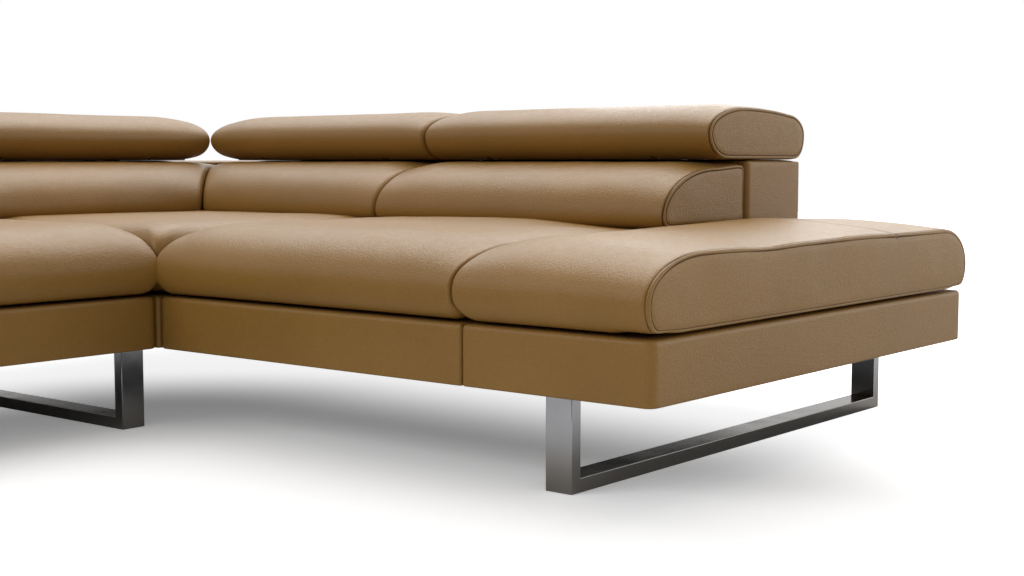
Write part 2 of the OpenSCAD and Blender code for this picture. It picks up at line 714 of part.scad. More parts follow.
// A hollow sled: floor bar and two uprights, bent round the Y and Z directions
module sled(x) {
    y0 = sled_front;
    y1 = sled_front + sled_l;
    w = tube_wall;
    color(CHROME) difference() {
        across(x, tube_w) polygon([[y0, 0], [y1, 0], [y1, base_z], [y1 - tube_t, base_z],
            [y1 - tube_t, tube_t], [y0 + tube_t, tube_t], [y0 + tube_t, base_z], [y0, base_z]]);
        across(x, tube_w - 2 * w) polygon([[y0 + w, w], [y1 - w, w], [y1 - w, base_z + past],
            [y1 - tube_t + w, base_z + past], [y1 - tube_t + w, tube_t - w],
            [y0 + tube_t - w, tube_t - w], [y0 + tube_t - w, base_z + past], [y0 + w, base_z + past]]);
    }
}
module leg_plate(c) {
    difference() {
        box([c.x - plate_w / 2, c.y - plate_d / 2, base_z],
            [c.x + plate_w / 2, c.y + plate_d / 2, base_z + plate_t]);
        leg_bolt_holes(c);
    }
}
module upright_bolt(p, z, length) {
    translate([p.x, p.y, z]) cylinder(h = length, r = bolt_r, $fn = 32);
    translate([p.x, p.y, z - bolt_head_h]) cylinder(h = bolt_head_h, r = bolt_head_r, $fn = 6);
}
// A block over a support leg, from its plate to the rear rail of the ring
module support_block(c) {
    box([c.x - plate_w / 2, c.y - plate_d / 2, rail_z],
        [c.x + plate_w / 2, depth - ring_in + past, rail_z + cross_rail_h]);
}
module support_leg(c) {
    translate([c.x, c.y, glide_h]) cylinder(h = base_z - glide_h, r = support_r, $fn = 48);
}

// Sub-parts of the modules, each drawn in the right wing

module base_panels_end() { color(LEATHER) base_panels(END, END_R) join_holes(seat_w); }
module base_panels_seat() {
    color(LEATHER) base_panels(SEAT, BASE_R) {
        join_holes(0);
        join_holes(seat_w);
    }
}
module base_panels_corner() {
    color(LEATHER) base_panels(CORNER, BASE_R) {
        join_holes(0);
        mirror([1, 1, 0]) join_holes(0);
    }
}
module base_frame_end() {
    color(WOOD) difference() {
        base_rails(END, [end_leg_x], false);
        join_holes(seat_w);
        for (c = end_plates) leg_bolt_holes(c);
    }
}
module base_frame_seat_right() {
    color(WOOD) difference() {
        union() {
            base_rails(SEAT, [], true);
            support_block(rear_support);
        }
        join_holes(0);
        join_holes(seat_w);
        leg_bolt_holes(rear_support);
        back_bolt_holes(back_bolt_xs(0, seat_w));
    }
}
module base_frame_seat_left() {
    color(WOOD) difference() {
        base_rails(SEAT, [mid_plate_x], true);
        join_holes(0);
        join_holes(seat_w);
        for (c = mid_plates) leg_bolt_holes(c);
        back_bolt_holes(back_bolt_xs(0, seat_w));
    }
}
module base_frame_corner() {
    color(WOOD) difference() {
        union() {
            base_rails(CORNER, [], false);
            for (flip = [0, 1]) mirror([flip, flip, 0])
                box([-depth + ring_in - past, back_rail_y - back_rail_w / 2, base_top - cross_rail_h],
                    [-join_reach + past, back_rail_y + back_rail_w / 2, base_top]);
            support_block(corner_support);
        }
        join_holes(0);
        mirror([1, 1, 0]) join_holes(0);
        leg_bolt_holes(corner_support);
        for (flip = [0, 1]) mirror([flip, flip, 0]) back_bolt_holes(back_bolt_xs(-back_front, 0));
    }
}

module seat_webbing() {
    strap_end = back_rail_y - back_rail_w / 2 - rest_gap;
    color(BLACK) {
        both_wings() {
            straps(END, depth - panel_t - frame_fit);
            straps(SEAT, strap_end);
        }
        right_wing() straps([-strap_end, 0, -half_gap, depth], strap_end);
    }
}
module dust_covers() {
    color(BLACK) {
        both_wings() dust_cover(END, end_plates);
        right_wing() dust_cover(SEAT, [rear_support]);
        left_wing() dust_cover(SEAT, mid_plates);
        right_wing() dust_cover(CORNER, [corner_support]);
    }
}
module back_frame_seat() {
    color(WOOD) back_frame(seat_w - half_gap, false, uprights(0, seat_w))
        back_bolt_holes(back_bolt_xs(0, seat_w));
}
module back_frame_mitred() {
    color(WOOD) back_frame(-half_gap, true, uprights(-back_front, 0))
        back_bolt_holes(back_bolt_xs(-back_front, 0));
}
module back_panels_seat() { color(LEATHER) back_panels(seat_w - half_gap, false, HEAD); }
module back_panels_mitred() { color(LEATHER) back_panels(-half_gap, true, HEAD_CORNER); }
module back_bolt_row(xs) {
    for (x = xs) upright_bolt([x, back_rail_y], base_top - cross_rail_h - rest_gap, back_bolt_l);
}
module leg_bolt_pair(c) {
    for (p = leg_bolt_places(c)) upright_bolt(p, base_z - rest_gap, leg_bolt_l);
}
module leg_plates() {
    color(STEEL) {
        both_wings() for (c = end_plates) leg_plate(c);
        left_wing() for (c = mid_plates) leg_plate(c);
        right_wing() {
            leg_plate(rear_support);
            leg_plate(corner_support);
        }
    }
}
module leg_bolts() {
    color(STEEL) {
        both_wings() for (c = end_plates) leg_bolt_pair(c);
        left_wing() for (c = mid_plates) leg_bolt_pair(c);
        right_wing() {
            leg_bolt_pair(rear_support);
            leg_bolt_pair(corner_support);
        }
    }
}
module support_legs() {
    color(CHROME) right_wing() for (c = [rear_support, corner_support]) support_leg(c);
}
module support_leg_glides() {
    color(BLACK) right_wing() for (c = [rear_support, corner_support])
        translate([c.x, c.y, 0]) cylinder(h = glide_h, r = support_r - glide_in, $fn = 48);
}
module module_bolts() {
    color(STEEL) both_wings() {
        join_bolts(0);
        join_bolts(seat_w);
    }
}
module back_bolts() {
    color(STEEL) both_wings() {
        back_bolt_row(back_bolt_xs(0, seat_w));
        back_bolt_row(back_bolt_xs(-back_front, 0));
    }
}

right_wing() base_panels_end();  // base_panels_end_right
right_wing() base_panels_seat();  // base_panels_seat_right
right_wing() base_panels_corner();
left_wing() base_panels_seat();  // base_panels_seat_left
left_wing() base_panels_end();  // base_panels_end_left
right_wing() base_frame_end();  // base_frame_end_right
right_wing() base_frame_seat_right();
right_wing() base_frame_corner();
left_wing() base_frame_seat_left();
left_wing() base_frame_end();  // base_frame_end_left
seat_webbing();
dust_covers();
right_wing() seat_cushion_end();  // seat_cushion_end_right
right_wing() seat_cushion();  // seat_cushion_right
right_wing() seat_cushion_square();  // seat_cushion_corner
left_wing() seat_cushion();  // seat_cushion_left
left_wing() seat_cushion_end();  // seat_cushion_end_left
right_wing() back_panels_seat();  // back_panels_right
right_wing() back_panels_mitred();  // back_panels_corner_right
left_wing() back_panels_seat();  // back_panels_left
left_wing() back_panels_mitred();  // back_panels_corner_left
right_wing() back_frame_seat();  // back_frame_right
right_wing() back_frame_mitred();  // back_frame_corner_right
left_wing() back_frame_seat();  // back_frame_left
left_wing() back_frame_mitred();  // back_frame_corner_left
right_wing() back_cushion(seat_w, false, true);  // back_cushion_right
right_wing() back_cushion(0, true, false);  // back_cushion_corner_right
left_wing() back_cushion(seat_w, false, true);  // back_cushion_left
left_wing() back_cushion(0, true, false);  // back_cushion_corner_left
right_wing() head_cushion_seat();  // headrest_cushion_right
right_wing() head_cushion_corner();  // headrest_cushion_corner_right
left_wing() head_cushion_seat();  // headrest_cushion_left
left_wing() head_cushion_corner();  // headrest_cushion_corner_left
right_wing() headrest_board(HEAD);  // headrest_board_right
right_wing() headrest_board(HEAD_CORNER);  // headrest_board_corner_right
left_wing() headrest_board(HEAD);  // headrest_board_left
left_wing() headrest_board(HEAD_CORNER);  // headrest_board_corner_left
right_wing() hinge_arms(HEAD);  // hinge_arms_right
right_wing() hinge_arms(HEAD_CORNER);  // hinge_arms_corner_right
left_wing() hinge_arms(HEAD);  // hinge_arms_left
left_wing() hinge_arms(HEAD_CORNER);  // hinge_arms_corner_left
right_wing() hinge_brackets(HEAD);  // hinge_brackets_right
right_wing() hinge_brackets(HEAD_CORNER);  // hinge_brackets_corner_right
left_wing() hinge_brackets(HEAD);  // hinge_brackets_left
left_wing() hinge_brackets(HEAD_CORNER);  // hinge_brackets_corner_left
right_wing() hinge_pins(HEAD);  // hinge_pins_right
right_wing() hinge_pins(HEAD_CORNER);  // hinge_pins_corner_right
left_wing() hinge_pins(HEAD);  // hinge_pins_left
left_wing() hinge_pins(HEAD_CORNER);  // hinge_pins_corner_left
right_wing() sled(end_leg_x);  // sled_leg_right
left_wing() sled(mid_leg_x);  // sled_leg_middle
left_wing() sled(end_leg_x);  // sled_leg_left
leg_plates();
support_legs();
support_leg_glides();
leg_bolts();
module_bolts();
back_bolts();
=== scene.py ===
"""Looks of the leather corner sofa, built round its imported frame.

Lengths are in millimetres and places are in the right wing's coordinates: X runs
along the wing from the inner corner, Y from its front to its back. The left wing
is the mirror image in the diagonal. Materials, floor and lights are in metres.
"""
import json
import math
from collections import namedtuple

import bmesh
import bpy
import numpy as np
from mathutils import Matrix, Vector, noise


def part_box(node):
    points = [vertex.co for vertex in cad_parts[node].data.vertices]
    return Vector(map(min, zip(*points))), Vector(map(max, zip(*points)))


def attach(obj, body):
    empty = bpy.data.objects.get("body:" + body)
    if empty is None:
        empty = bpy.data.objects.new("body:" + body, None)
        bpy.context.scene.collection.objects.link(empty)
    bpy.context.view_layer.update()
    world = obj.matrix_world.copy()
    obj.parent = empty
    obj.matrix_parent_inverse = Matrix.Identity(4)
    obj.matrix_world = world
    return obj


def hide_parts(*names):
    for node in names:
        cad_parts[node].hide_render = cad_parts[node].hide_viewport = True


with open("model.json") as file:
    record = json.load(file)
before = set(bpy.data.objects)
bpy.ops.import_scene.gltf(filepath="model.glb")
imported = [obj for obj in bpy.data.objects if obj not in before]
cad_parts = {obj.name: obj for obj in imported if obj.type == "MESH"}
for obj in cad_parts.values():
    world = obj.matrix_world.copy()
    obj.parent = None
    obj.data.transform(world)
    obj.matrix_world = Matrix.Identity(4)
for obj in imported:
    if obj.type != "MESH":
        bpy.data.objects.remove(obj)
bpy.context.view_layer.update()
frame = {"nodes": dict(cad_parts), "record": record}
MM = 0.001
WINGS = ("right", "left")
Box = namedtuple("Box", "low high")


# Places read from the frame

def world_box(node):
    low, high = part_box(node)
    return np.array(low) / MM, np.array(high) / MM


SHIFT = (world_box("base_panels_seat_right")[0][0] + world_box("base_panels_corner")[1][0]) / 2


def wing_box(node):
    low, high = world_box(node)
    move = np.array([-SHIFT, SHIFT, 0.0])
    return Box(low + move, high + move)


END = wing_box("base_panels_end_right")
SEAT = wing_box("base_panels_seat_right")
CORNER = wing_box("base_panels_corner")
END_PAD = wing_box("seat_cushion_end_right")
SEAT_PAD = wing_box("seat_cushion_right")
CORNER_PAD = wing_box("seat_cushion_corner")
BACK = wing_box("back_panels_right")
BACK_PAD = wing_box("back_cushion_right")
HEAD = wing_box("headrest_cushion_right")
HEAD_CORNER = wing_box("headrest_cushion_corner_right")
BOARD = wing_box("headrest_board_right")
BOARD_CORNER = wing_box("headrest_board_corner_right")
ARMS = wing_box("hinge_arms_right")
BRACKETS = wing_box("hinge_brackets_right")

TO_WORLD = Matrix.Translation((SHIFT * MM, -SHIFT * MM, 0.0))
MIRROR = Matrix(((0, -1, 0, 0), (-1, 0, 0, 0), (0, 0, 1, 0), (0, 0, 0, 1)))
WORLD_OF = {"right": TO_WORLD, "left": TO_WORLD @ MIRROR}


def add_object(name, data):
    piece = bpy.data.objects.new(name, data)
    bpy.context.collection.objects.link(piece)
    return piece


# Camera at the photograph's place, found from the sofa's edges

def make_camera():
    """The eye stands out from the front corner of the right wing's base; across and
    back are in eye heights."""
    eye_height = 591.4 * MM
    across = 2.3099
    back = 3.4729
    tilt = 4.836
    turn = 39.107
    picture_width = 1024
    focal_pixels = 1476.63
    sensor = 36.0
    data = bpy.data.cameras.new("photo_camera")
    data.sensor_width = sensor
    data.lens = focal_pixels / picture_width * sensor
    camera = add_object("photo_camera", data)
    corner = WORLD_OF["right"] @ Vector((END.high[0] * MM, 0.0, 0.0))
    camera.location = (corner.x + across * eye_height, corner.y - back * eye_height, eye_height)
    camera.rotation_euler = (math.radians(90 - tilt), 0.0, math.radians(turn))
    bpy.context.scene.camera = camera


make_camera()


# Node trees

def linear(red, green, blue):
    """An 8-bit screen colour as the linear colour that a shader takes."""
    def one(value):
        share = value / 255
        return share / 12.92 if share <= 0.04045 else ((share + 0.055) / 1.055) ** 2.4
    return (one(red), one(green), one(blue), 1.0)


class Nodes:
    """One tree of shader nodes, empty at first. What a method adds is given back as
    its output."""

    def __init__(self, owner):
        owner.use_nodes = True
        self.tree = owner.node_tree
        self.tree.nodes.clear()

    def add(self, kind, inputs=None, **settings):
        node = self.tree.nodes.new("ShaderNode" + kind)
        for key, value in settings.items():
            setattr(node, key, value)
        for key, value in (inputs or {}).items():
            if isinstance(value, bpy.types.NodeSocket):
                self.tree.links.new(value, node.inputs[key])
            else:
                node.inputs[key].default_value = value
        return node.outputs

    def finish(self, inputs):
        self.add("OutputMaterial", {"Surface": self.add("BsdfPrincipled", inputs)[0]})

    def math(self, operation, first, second):
        return self.add("Math", {0: first, 1: second}, operation=operation)[0]

    def weighted_sum(self, *parts):
        """The sum of (value, weight) pairs."""
        products = [self.math("MULTIPLY", value, weight) for value, weight in parts]
        total = products[0]
        for product in products[1:]:
            total = self.math("ADD", total, product)
        return total

    def mix(self, factor, first, second, blend="MIX"):
        return self.add("Mix", {0: factor, 6: first, 7: second}, data_type="RGBA", blend_type=blend)[2]

    def ramp(self, value, low, high, to_low=0.0, to_high=1.0):
        return self.add("MapRange", {"Value": value, "From Min": low, "From Max": high, "To Min": to_low,
                                     "To Max": to_high}, interpolation_type="SMOOTHSTEP")["Result"]

    def noise(self, vector, scale, detail=2.0, rough=0.5, distortion=0.0):
        return self.add("TexNoise", {"Vector": vector, "Scale": scale, "Detail": detail,
                                     "Roughness": rough, "Distortion": distortion})["Fac"]

    def stretched(self, vector, scale, angle=(0.0, 0.0, 0.0)):
        return self.add("Mapping", {"Vector": vector, "Scale": scale, "Rotation": angle})["Vector"]

    def bump(self, height, strength, distance):
        return self.add("Bump", {"Height": height, "Strength": strength, "Distance": distance})[0]


def new_material(name):
    """A material, its nodes and the place on the object, in metres."""
    material = bpy.data.materials.new(name)
    nodes = Nodes(material)
    return material, nodes, nodes.add("TexCoord")["Object"]


# Materials: the scales are in repeats per metre

def leather_material(name, light, dark, rough):
    """Tan leather: pebbled grain, fine creases that run askew and slow changes of tone."""
    pebble_scale = 320.0
    crease_scale = 250.0
    patch_scale = 60.0
    tone_scale = 3.2
    uneven_gloss = 0.03
    material, nodes, place = new_material(name)
    skewed = nodes.stretched(place, (1.0, 0.6, 1.0), (0.6, 0.35, 0.75))
    pebble = nodes.add("TexVoronoi", {"Vector": skewed, "Scale": pebble_scale, "Randomness": 1.0},
                       feature="SMOOTH_F1")["Distance"]
    fold = nodes.ramp(nodes.noise(skewed, crease_scale, 3.0, 0.6, 0.4), 0.42, 0.6)
    slow = nodes.noise(place, tone_scale)
    patch = nodes.noise(place, patch_scale, 3.0)
    tone = nodes.weighted_sum((slow, 0.8), (patch, 0.2))
    color = nodes.mix(nodes.ramp(tone, 0.3, 0.7), dark, light)
    # Painted shade and light: the colour darkens a little in the creases' hollows and lightens a little on
    # their ridges.
    shade = nodes.ramp(fold, 0.0, 1.0, 0.955, 1.015)
    crease_shade = nodes.add("CombineColor", {0: shade, 1: shade, 2: shade})[0]
    grain = nodes.weighted_sum((pebble, 0.5), (fold, 0.6), (patch, 0.4))
    nodes.finish({
        "Base Color": nodes.mix(1.0, color, crease_shade, "MULTIPLY"),
        "Roughness": nodes.ramp(patch, 0.3, 0.7, rough - uneven_gloss, rough + uneven_gloss),
        "Normal": nodes.bump(grain, 0.42, 0.0009),
        "Sheen Weight": 0.02, "Sheen Roughness": 0.4, "IOR": 1.5})
    return material


def wood_material():
    """Sawn softwood: long grain lines, pores and knots' broad bands."""
    material, nodes, place = new_material("wood")
    along = nodes.stretched(place, (1.6, 14.0, 14.0), (0.0, 0.0, 0.03))
    bands = nodes.noise(along, 4.0, 4.0, 0.55, 1.2)
    pores = nodes.noise(nodes.stretched(place, (8.0, 140.0, 140.0)), 6.0)
    color = nodes.mix(nodes.ramp(bands, 0.35, 0.65), linear(198, 163, 116), linear(226, 196, 150))
    color = nodes.mix(nodes.ramp(pores, 0.58, 0.74, 0.0, 0.5), color, linear(150, 112, 70))
    nodes.finish({"Base Color": color, "Roughness": 0.62, "Normal": nodes.bump(pores, 0.3, 0.0006)})
    return material


def woven_material(name, light, dark, threads):
    """Coarse cloth: two crossed sets of threads."""
    material, nodes, place = new_material(name)
    warp, weft = (nodes.add("TexWave", {"Vector": place, "Scale": threads}, wave_type="BANDS",
                            bands_direction=way)["Fac"] for way in "XY")
    weave = nodes.math("MULTIPLY", warp, weft)
    fuzz = nodes.noise(place, 60.0, 3.0)
    color = nodes.mix(weave, dark, light)
    color = nodes.mix(nodes.ramp(fuzz, 0.4, 0.7, 0.0, 0.4), color, dark)
    nodes.finish({"Base Color": color, "Roughness": 0.85, "Sheen Weight": 0.2,
                  "Normal": nodes.bump(weave, 0.5, 0.0008)})
    return material


def metal_material(name, tint, low_rough, high_rough, brushed, floor_shade_tint=None):
    """Metal with faint smears, and fine brushed lines where they are wanted. With
    a tint for low down it darkens towards the floor, as painted shade."""
    shade_height = 0.15
    material, nodes, place = new_material(name)
    smears = nodes.noise(place, 11.0, 4.0, 0.6)
    lines = nodes.noise(nodes.stretched(place, (1.0, 1.0, 60.0)), 40.0)
    # Painted shade: the tint darkens over the lowest 15 cm, towards the floor.
    if floor_shade_tint is not None:
        level = nodes.add("SeparateXYZ", {0: place})["Z"]
        tint = nodes.mix(nodes.ramp(level, 0.0, shade_height), floor_shade_tint, tint)
    color = nodes.mix(nodes.ramp(smears, 0.3, 0.8, 0.0, 0.12), tint, linear(120, 118, 116))
    nodes.finish({
        "Base Color": color, "Metallic": 1.0,
        "Roughness": nodes.ramp(smears, 0.35, 0.7, low_rough, high_rough),
        "Normal": nodes.bump(lines, brushed, 0.0002)})
    return material


def plastic_material():
    material, nodes, place = new_material("glide_plastic")
    speckle = nodes.noise(place, 400.0)
    color = nodes.mix(speckle, linear(28, 28, 30), linear(46, 46, 48))
    nodes.finish({"Base Color": color, "Roughness": 0.55, "Normal": nodes.bump(speckle, 0.2, 0.0003)})
    return material


LEATHER = leather_material("leather", linear(155, 114, 50), linear(147, 108, 46), 0.41)
# Darker leather for the faces in the seams' grooves: painted shade of the grooves.
GROOVE_SHADE_LEATHER = leather_material("leather_groove_shade", linear(92, 60, 22), linear(76, 48, 16), 0.75)
MATERIALS = {
    "leather": LEATHER,
    "wood": wood_material(),
    "webbing": woven_material("webbing", linear(60, 60, 64), linear(22, 22, 25), 260.0),
    "dust_cloth": woven_material("dust_cloth", linear(44, 44, 47), linear(18, 18, 20), 420.0),
    # The sleds' steel: painted shade makes it darker towards the floor.
    "polished_steel": metal_material("polished_steel", linear(188, 189, 193), 0.14, 0.22, 0.0,
                                     linear(152, 147, 141)),
    "glide_plastic": plastic_material(),
    "bright_pin": metal_material("bright_pin", linear(205, 205, 208), 0.16, 0.26, 0.1),
    "plain_steel": metal_material("plain_steel", linear(104, 105, 108), 0.32, 0.46, 0.25),
}


def dress_cad_nodes():
    for part in frame["record"]["subparts"]:
        node = frame["nodes"][part["node"]]
        for slot in node.material_slots:
            slot.material = MATERIALS[part["material_slot"]]


# Curves and falls

def arc(center, radii, start, stop, steps=24):
    angles = np.radians(np.linspace(start, stop, steps + 1))
    return np.stack([center[0] + radii[0] * np.cos(angles), center[1] + radii[1] * np.sin(angles)], axis=1)


def smooth_step(value):
    share = np.clip(value, 0, 1)
    return share * share * (3 - 2 * share)


def rising(value, start, run):
    """0 up to the start, then softly up to 1 over the run."""
    return smooth_step((value - start) / run)


def fading(distance, run):
    """1 at no distance, then down to 0 over the run."""
    return np.maximum(0, 1 - distance / run) ** 2


def mound(value, height, middle, width):
    """A smooth mound round the middle."""
    return height * np.exp(-((value - middle) / width) ** 2)


# Mesh helpers

def resample(points, count):
    """The polyline as count equal steps, without its last point."""
    points = np.array(points, dtype=float)
    steps = np.linalg.norm(np.diff(points, axis=0), axis=1)
    length = np.concatenate([[0.0], np.cumsum(steps)])
    wanted = np.linspace(0.0, length[-1], count + 1)[:-1]
    return np.stack([np.interp(wanted, length, points[:, k]) for k in range(2)], axis=1)


def softened(ring):
    return (np.roll(ring, 1, 0) + 2 * ring + np.roll(ring, -1, 0)) / 4


def inset(ring, distance):
    """The ring moved inwards, in short steps that are smoothed once they are deep;
    it runs anticlockwise seen from +X."""
    free = 5.0
    step = 2.5
    tiny = 1e-6
    moved = 0.0
    while moved < distance - tiny:
        go = distance if distance <= free else (free if moved < free else min(step, distance - moved))
        tangent = np.roll(ring, -1, 0) - np.roll(ring, 1, 0)
        inward = np.stack([-tangent[:, 1], tangent[:, 0]], axis=1)
        inward /= np.linalg.norm(inward, axis=1)[:, None]
        ring = ring + go * inward
        moved += go
        if moved > free:
            ring = softened(ring)
    return ring


def tube_faces(rings, count):
    first = np.arange(rings - 1)[:, None] * count
    here = np.arange(count)
    after = (here + 1) % count
    quads = np.stack([first + here, first + after, first + after + count, first + here + count], axis=-1)
    return quads.reshape(-1, 4).tolist()


def end_faces(rings, count):
    """The faces that close a tube of rings."""
    return [list(range(count))[::-1], list(range(count * (rings - 1), count * rings))]


def make_object(name, points, faces, wing, body, materials=(LEATHER,), face_material=None):
    """A mesh in world metres, with its faces turned outwards, on its body."""
    mesh = bpy.data.meshes.new(name)
    mesh.from_pydata([Vector(p) * MM for p in points], [], faces)
    mesh.transform(WORLD_OF[wing])
    if face_material is not None:
        mesh.polygons.foreach_set("material_index", np.array(face_material, dtype=np.int32))
    form = bmesh.new()
    form.from_mesh(mesh)
    bmesh.ops.remove_doubles(form, verts=form.verts, dist=1e-7)
    bmesh.ops.recalc_face_normals(form, faces=form.faces)
    form.to_mesh(mesh)
    form.free()
    for material in materials:
        mesh.materials.append(material)
    mesh.shade_smooth()
    piece = add_object(name, mesh)
    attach(piece, body)
    return piece


# Stuffing: a coarse copy of each cushion is blown up as cloth, and the fine form
# takes over its swelling

CLOTH_PRESSURE = 4
CLOTH_GROWTH = 0.002
CLOTH_QUALITY = 6
CLOTH_FRAMES = 20
CLOTH_STEP = 4
CLOTH_LIMIT = 3
CLOTH_SMOOTHING = 2
SWELL_SHARE = 0.7


def coarse_places(count, step):
    """Row numbers spread evenly from the first row to the last."""
    return np.round(np.linspace(0, count - 1, int(round((count - 1) / step)) + 1)).astype(int)


def simulated(grid, held):
    """How far cloth under pressure moves the points of a closed grid of rings, in mm.
    grid is (rings, points, 3) and held marks the points that stay."""
    rows, count = grid.shape[:2]
    mesh = bpy.data.meshes.new("stuffing")
    mesh.from_pydata([Vector(p) * MM for p in grid.reshape(-1, 3)], [],
                     tube_faces(rows, count) + end_faces(rows, count))
    piece = add_object("stuffing", mesh)
    piece.vertex_groups.new(name="held").add(np.flatnonzero(held).tolist(), 1.0, "REPLACE")
    cloth = piece.modifiers.new("cloth", "CLOTH")
    cloth.settings.quality = CLOTH_QUALITY
    cloth.settings.use_pressure = True
    cloth.settings.uniform_pressure_force = CLOTH_PRESSURE
    cloth.settings.shrink_min = -CLOTH_GROWTH
    cloth.settings.vertex_group_mass = "held"
    cloth.settings.effector_weights.gravity = 0.0
    cloth.collision_settings.use_collision = False
    cloth.point_cache.frame_end = CLOTH_FRAMES
    for number in range(1, CLOTH_FRAMES + 1):
        bpy.context.scene.frame_set(number)
    graph = bpy.context.evaluated_depsgraph_get()
    moved = np.array([v.co[:] for v in piece.evaluated_get(graph).data.vertices]) / MM
    bpy.context.scene.frame_set(1)
    bpy.data.objects.remove(piece)
    return moved.reshape(grid.shape) - grid


def smooth_curve(values, places, closed):
    """The smooth curve through rows of values, read at fractional row numbers."""
    first = np.floor(places).astype(int)
    part = (places - first).reshape(-1, 1, 1)

    def row(number):
        return values[number % len(values) if closed else np.clip(number, 0, len(values) - 1)]

    a, b, c, d = row(first - 1), row(first), row(first + 1), row(first + 2)
    return b + 0.5 * part * (c - a + part * (2 * a - 5 * b + 4 * c - d + part * (3 * (b - c) + d - a)))


def stuffed(rings, rows, still, directions, ends_stay):
    """The rings after the simulation; only the given rows and what lies between them
    move, and nothing under still's height or behind its depth."""
    count = rings.shape[1]
    columns = coarse_places(count + 1, CLOTH_STEP)
    grid = rings[rows][:, columns[:-1]]
    held = (grid[..., 2] < still[0]) | (grid[..., 1] > still[1])
    if ends_stay:
        held[[0, -1]] = True
    moved = simulated(grid, held.reshape(-1)) * np.array(directions)
    far = np.linalg.norm(moved, axis=2, keepdims=True)
    moved *= CLOTH_LIMIT / np.maximum(far, CLOTH_LIMIT)
    for _ in range(CLOTH_SMOOTHING):
        moved = (np.roll(moved, 1, 1) + 2 * moved + np.roll(moved, -1, 1)) / 4
        moved[1:-1] = (moved[:-2] + 2 * moved[1:-1] + moved[2:]) / 4
    fine_rows = np.arange(rows[0], rows[-1] + 1)
    moved = smooth_curve(moved, np.interp(fine_rows, rows, np.arange(len(rows))), False)
    column_places = np.interp(np.arange(count), columns, np.arange(len(columns)))
    moved = smooth_curve(moved.swapaxes(0, 1), column_places, True).swapaxes(0, 1)
    rings = rings.copy()
    rings[fine_rows] += moved
    return rings


# Ends and sections of the cushions along a wing

GRID = 9
GATHERED = (6.0, 3.0, 1.2, 0.0, -1.2, -3.0, -6.0)

# The seam round an open end, as distance from the end, inset and material, which is
# 1 in a groove, where a darker leather is painted shade: a thin line on the face, a
# flat welt and a deep groove beside it
SEAM_END = [
    (0.0, 16.0, 0), (0.3, 13.6, 0), (0.8, 11.6, 0), (1.3, 10.2, 1), (2.3, 9.3, 1), (2.3, 8.4, 1),
    (1.3, 7.6, 0), (0.9, 6.2, 0), (1.0, 4.8, 0), (1.7, 3.4, 0), (2.9, 2.3, 0), (4.2, 1.7, 0),
    (5.2, 2.3, 1), (6.0, 4.0, 1), (7.2, 4.3, 1), (8.3, 2.6, 1), (9.8, 1.4, 0), (12.5, 0.6, 0),
    (17.0, 0.2, 0), (24.0, 0.0, 0),
]


def quarter(radius, angles):
    """How far each step of a quarter round stands from its two faces."""
    return [(radius * (1 - math.cos(a)), radius * (1 - math.sin(a))) for a in np.radians(angles)]


def gather(points, seam_at):
    """Moves the nearest points to both sides of a seam, so that it can be narrow."""
    points = points.copy()
    first = int(np.argmin(np.abs(points[:, 0] - seam_at))) - len(GATHERED) // 2
    for index, offset in enumerate(GATHERED, first):
        height = np.interp(seam_at + offset, points[::-1, 0], points[::-1, 1])
        points[index] = (seam_at + offset, height)
    return points


class Section:
    """A cushion's section: a ring from the front round the bottom, the rear and the top.
    Under still's height and behind its depth the stuffing moves nothing."""

    def __init__(self, bottom, top, roll, high, still, seam_at=None):
        self.half = int(round(sum(np.linalg.norm(np.diff(np.array(top), axis=0), axis=1)) / GRID))
        self.roll = roll
        self.high = high
        self.still = still
        top_ring = resample(top, self.half)
        if seam_at is not None:
            top_ring = gather(top_ring, seam_at)
        self.ring = softened(softened(np.concatenate([resample(bottom, self.half), top_ring])))


SEAT_BED_IN = 95
SEAT_RIM_IN = 62
SEAT_LOWER_R = 36
SEAT_RIM_LIFT = 5
SEAT_ROLL_H = 61
NOSE_RUN = 180
TAIL_RUN = 125
BED = SEAT_PAD.low[2]
RIM = SEAT.high[2] + SEAT_RIM_LIFT
ROLL = SEAT.high[2] + SEAT_ROLL_H
SEAT_TOP = SEAT_PAD.high[2]
SEAT_STILL = (RIM + 6, math.inf)


def seat_section(front, rear, rear_run, seam_at=None):
    lower = (SEAT_LOWER_R, ROLL - RIM)
    bottom = np.concatenate([
        arc((front + SEAT_LOWER_R, ROLL), lower, 180, 270),
        [(front + SEAT_RIM_IN, RIM), (front + SEAT_BED_IN, BED)],
        [(rear - SEAT_BED_IN, BED), (rear - SEAT_RIM_IN, RIM)],
        arc((rear - SEAT_LOWER_R, ROLL), lower, 270, 360)])
    top = np.concatenate([
        arc((rear - rear_run, ROLL), (rear_run, SEAT_TOP - ROLL), 0, 90),
        arc((front + NOSE_RUN, ROLL), (NOSE_RUN, SEAT_TOP - ROLL), 90, 180)])
    return Section(bottom, top, ROLL, SEAT_TOP, SEAT_STILL, seam_at)


PAD_R = 26
PAD_REAR_R = 10
PAD_SINK = 9
PAD_RUN = 222
PAD_TOP_ROOM = 1.5
PAD_STILL = (SEAT_TOP + 2, BACK_PAD.high[1] - 24)


def back_pad_section():
    front, low = BACK_PAD.low[1], BACK_PAD.low[2] - PAD_SINK
    rear, high = BACK_PAD.high[1], BACK_PAD.high[2] - PAD_TOP_ROOM
    roll = low + PAD_R
    bottom = np.concatenate([
        arc((front + PAD_R, roll), (PAD_R, PAD_R), 180, 270),
        arc((rear - PAD_R, roll), (PAD_R, PAD_R), 270, 360)])
    top = np.concatenate([
        [(rear, roll)],
        arc((rear - PAD_REAR_R, high - PAD_REAR_R), (PAD_REAR_R, PAD_REAR_R), 0, 90),
        arc((front + PAD_RUN, roll), (PAD_RUN, high - roll), 90, 180)])
    return Section(bottom, top, roll, high, PAD_STILL)


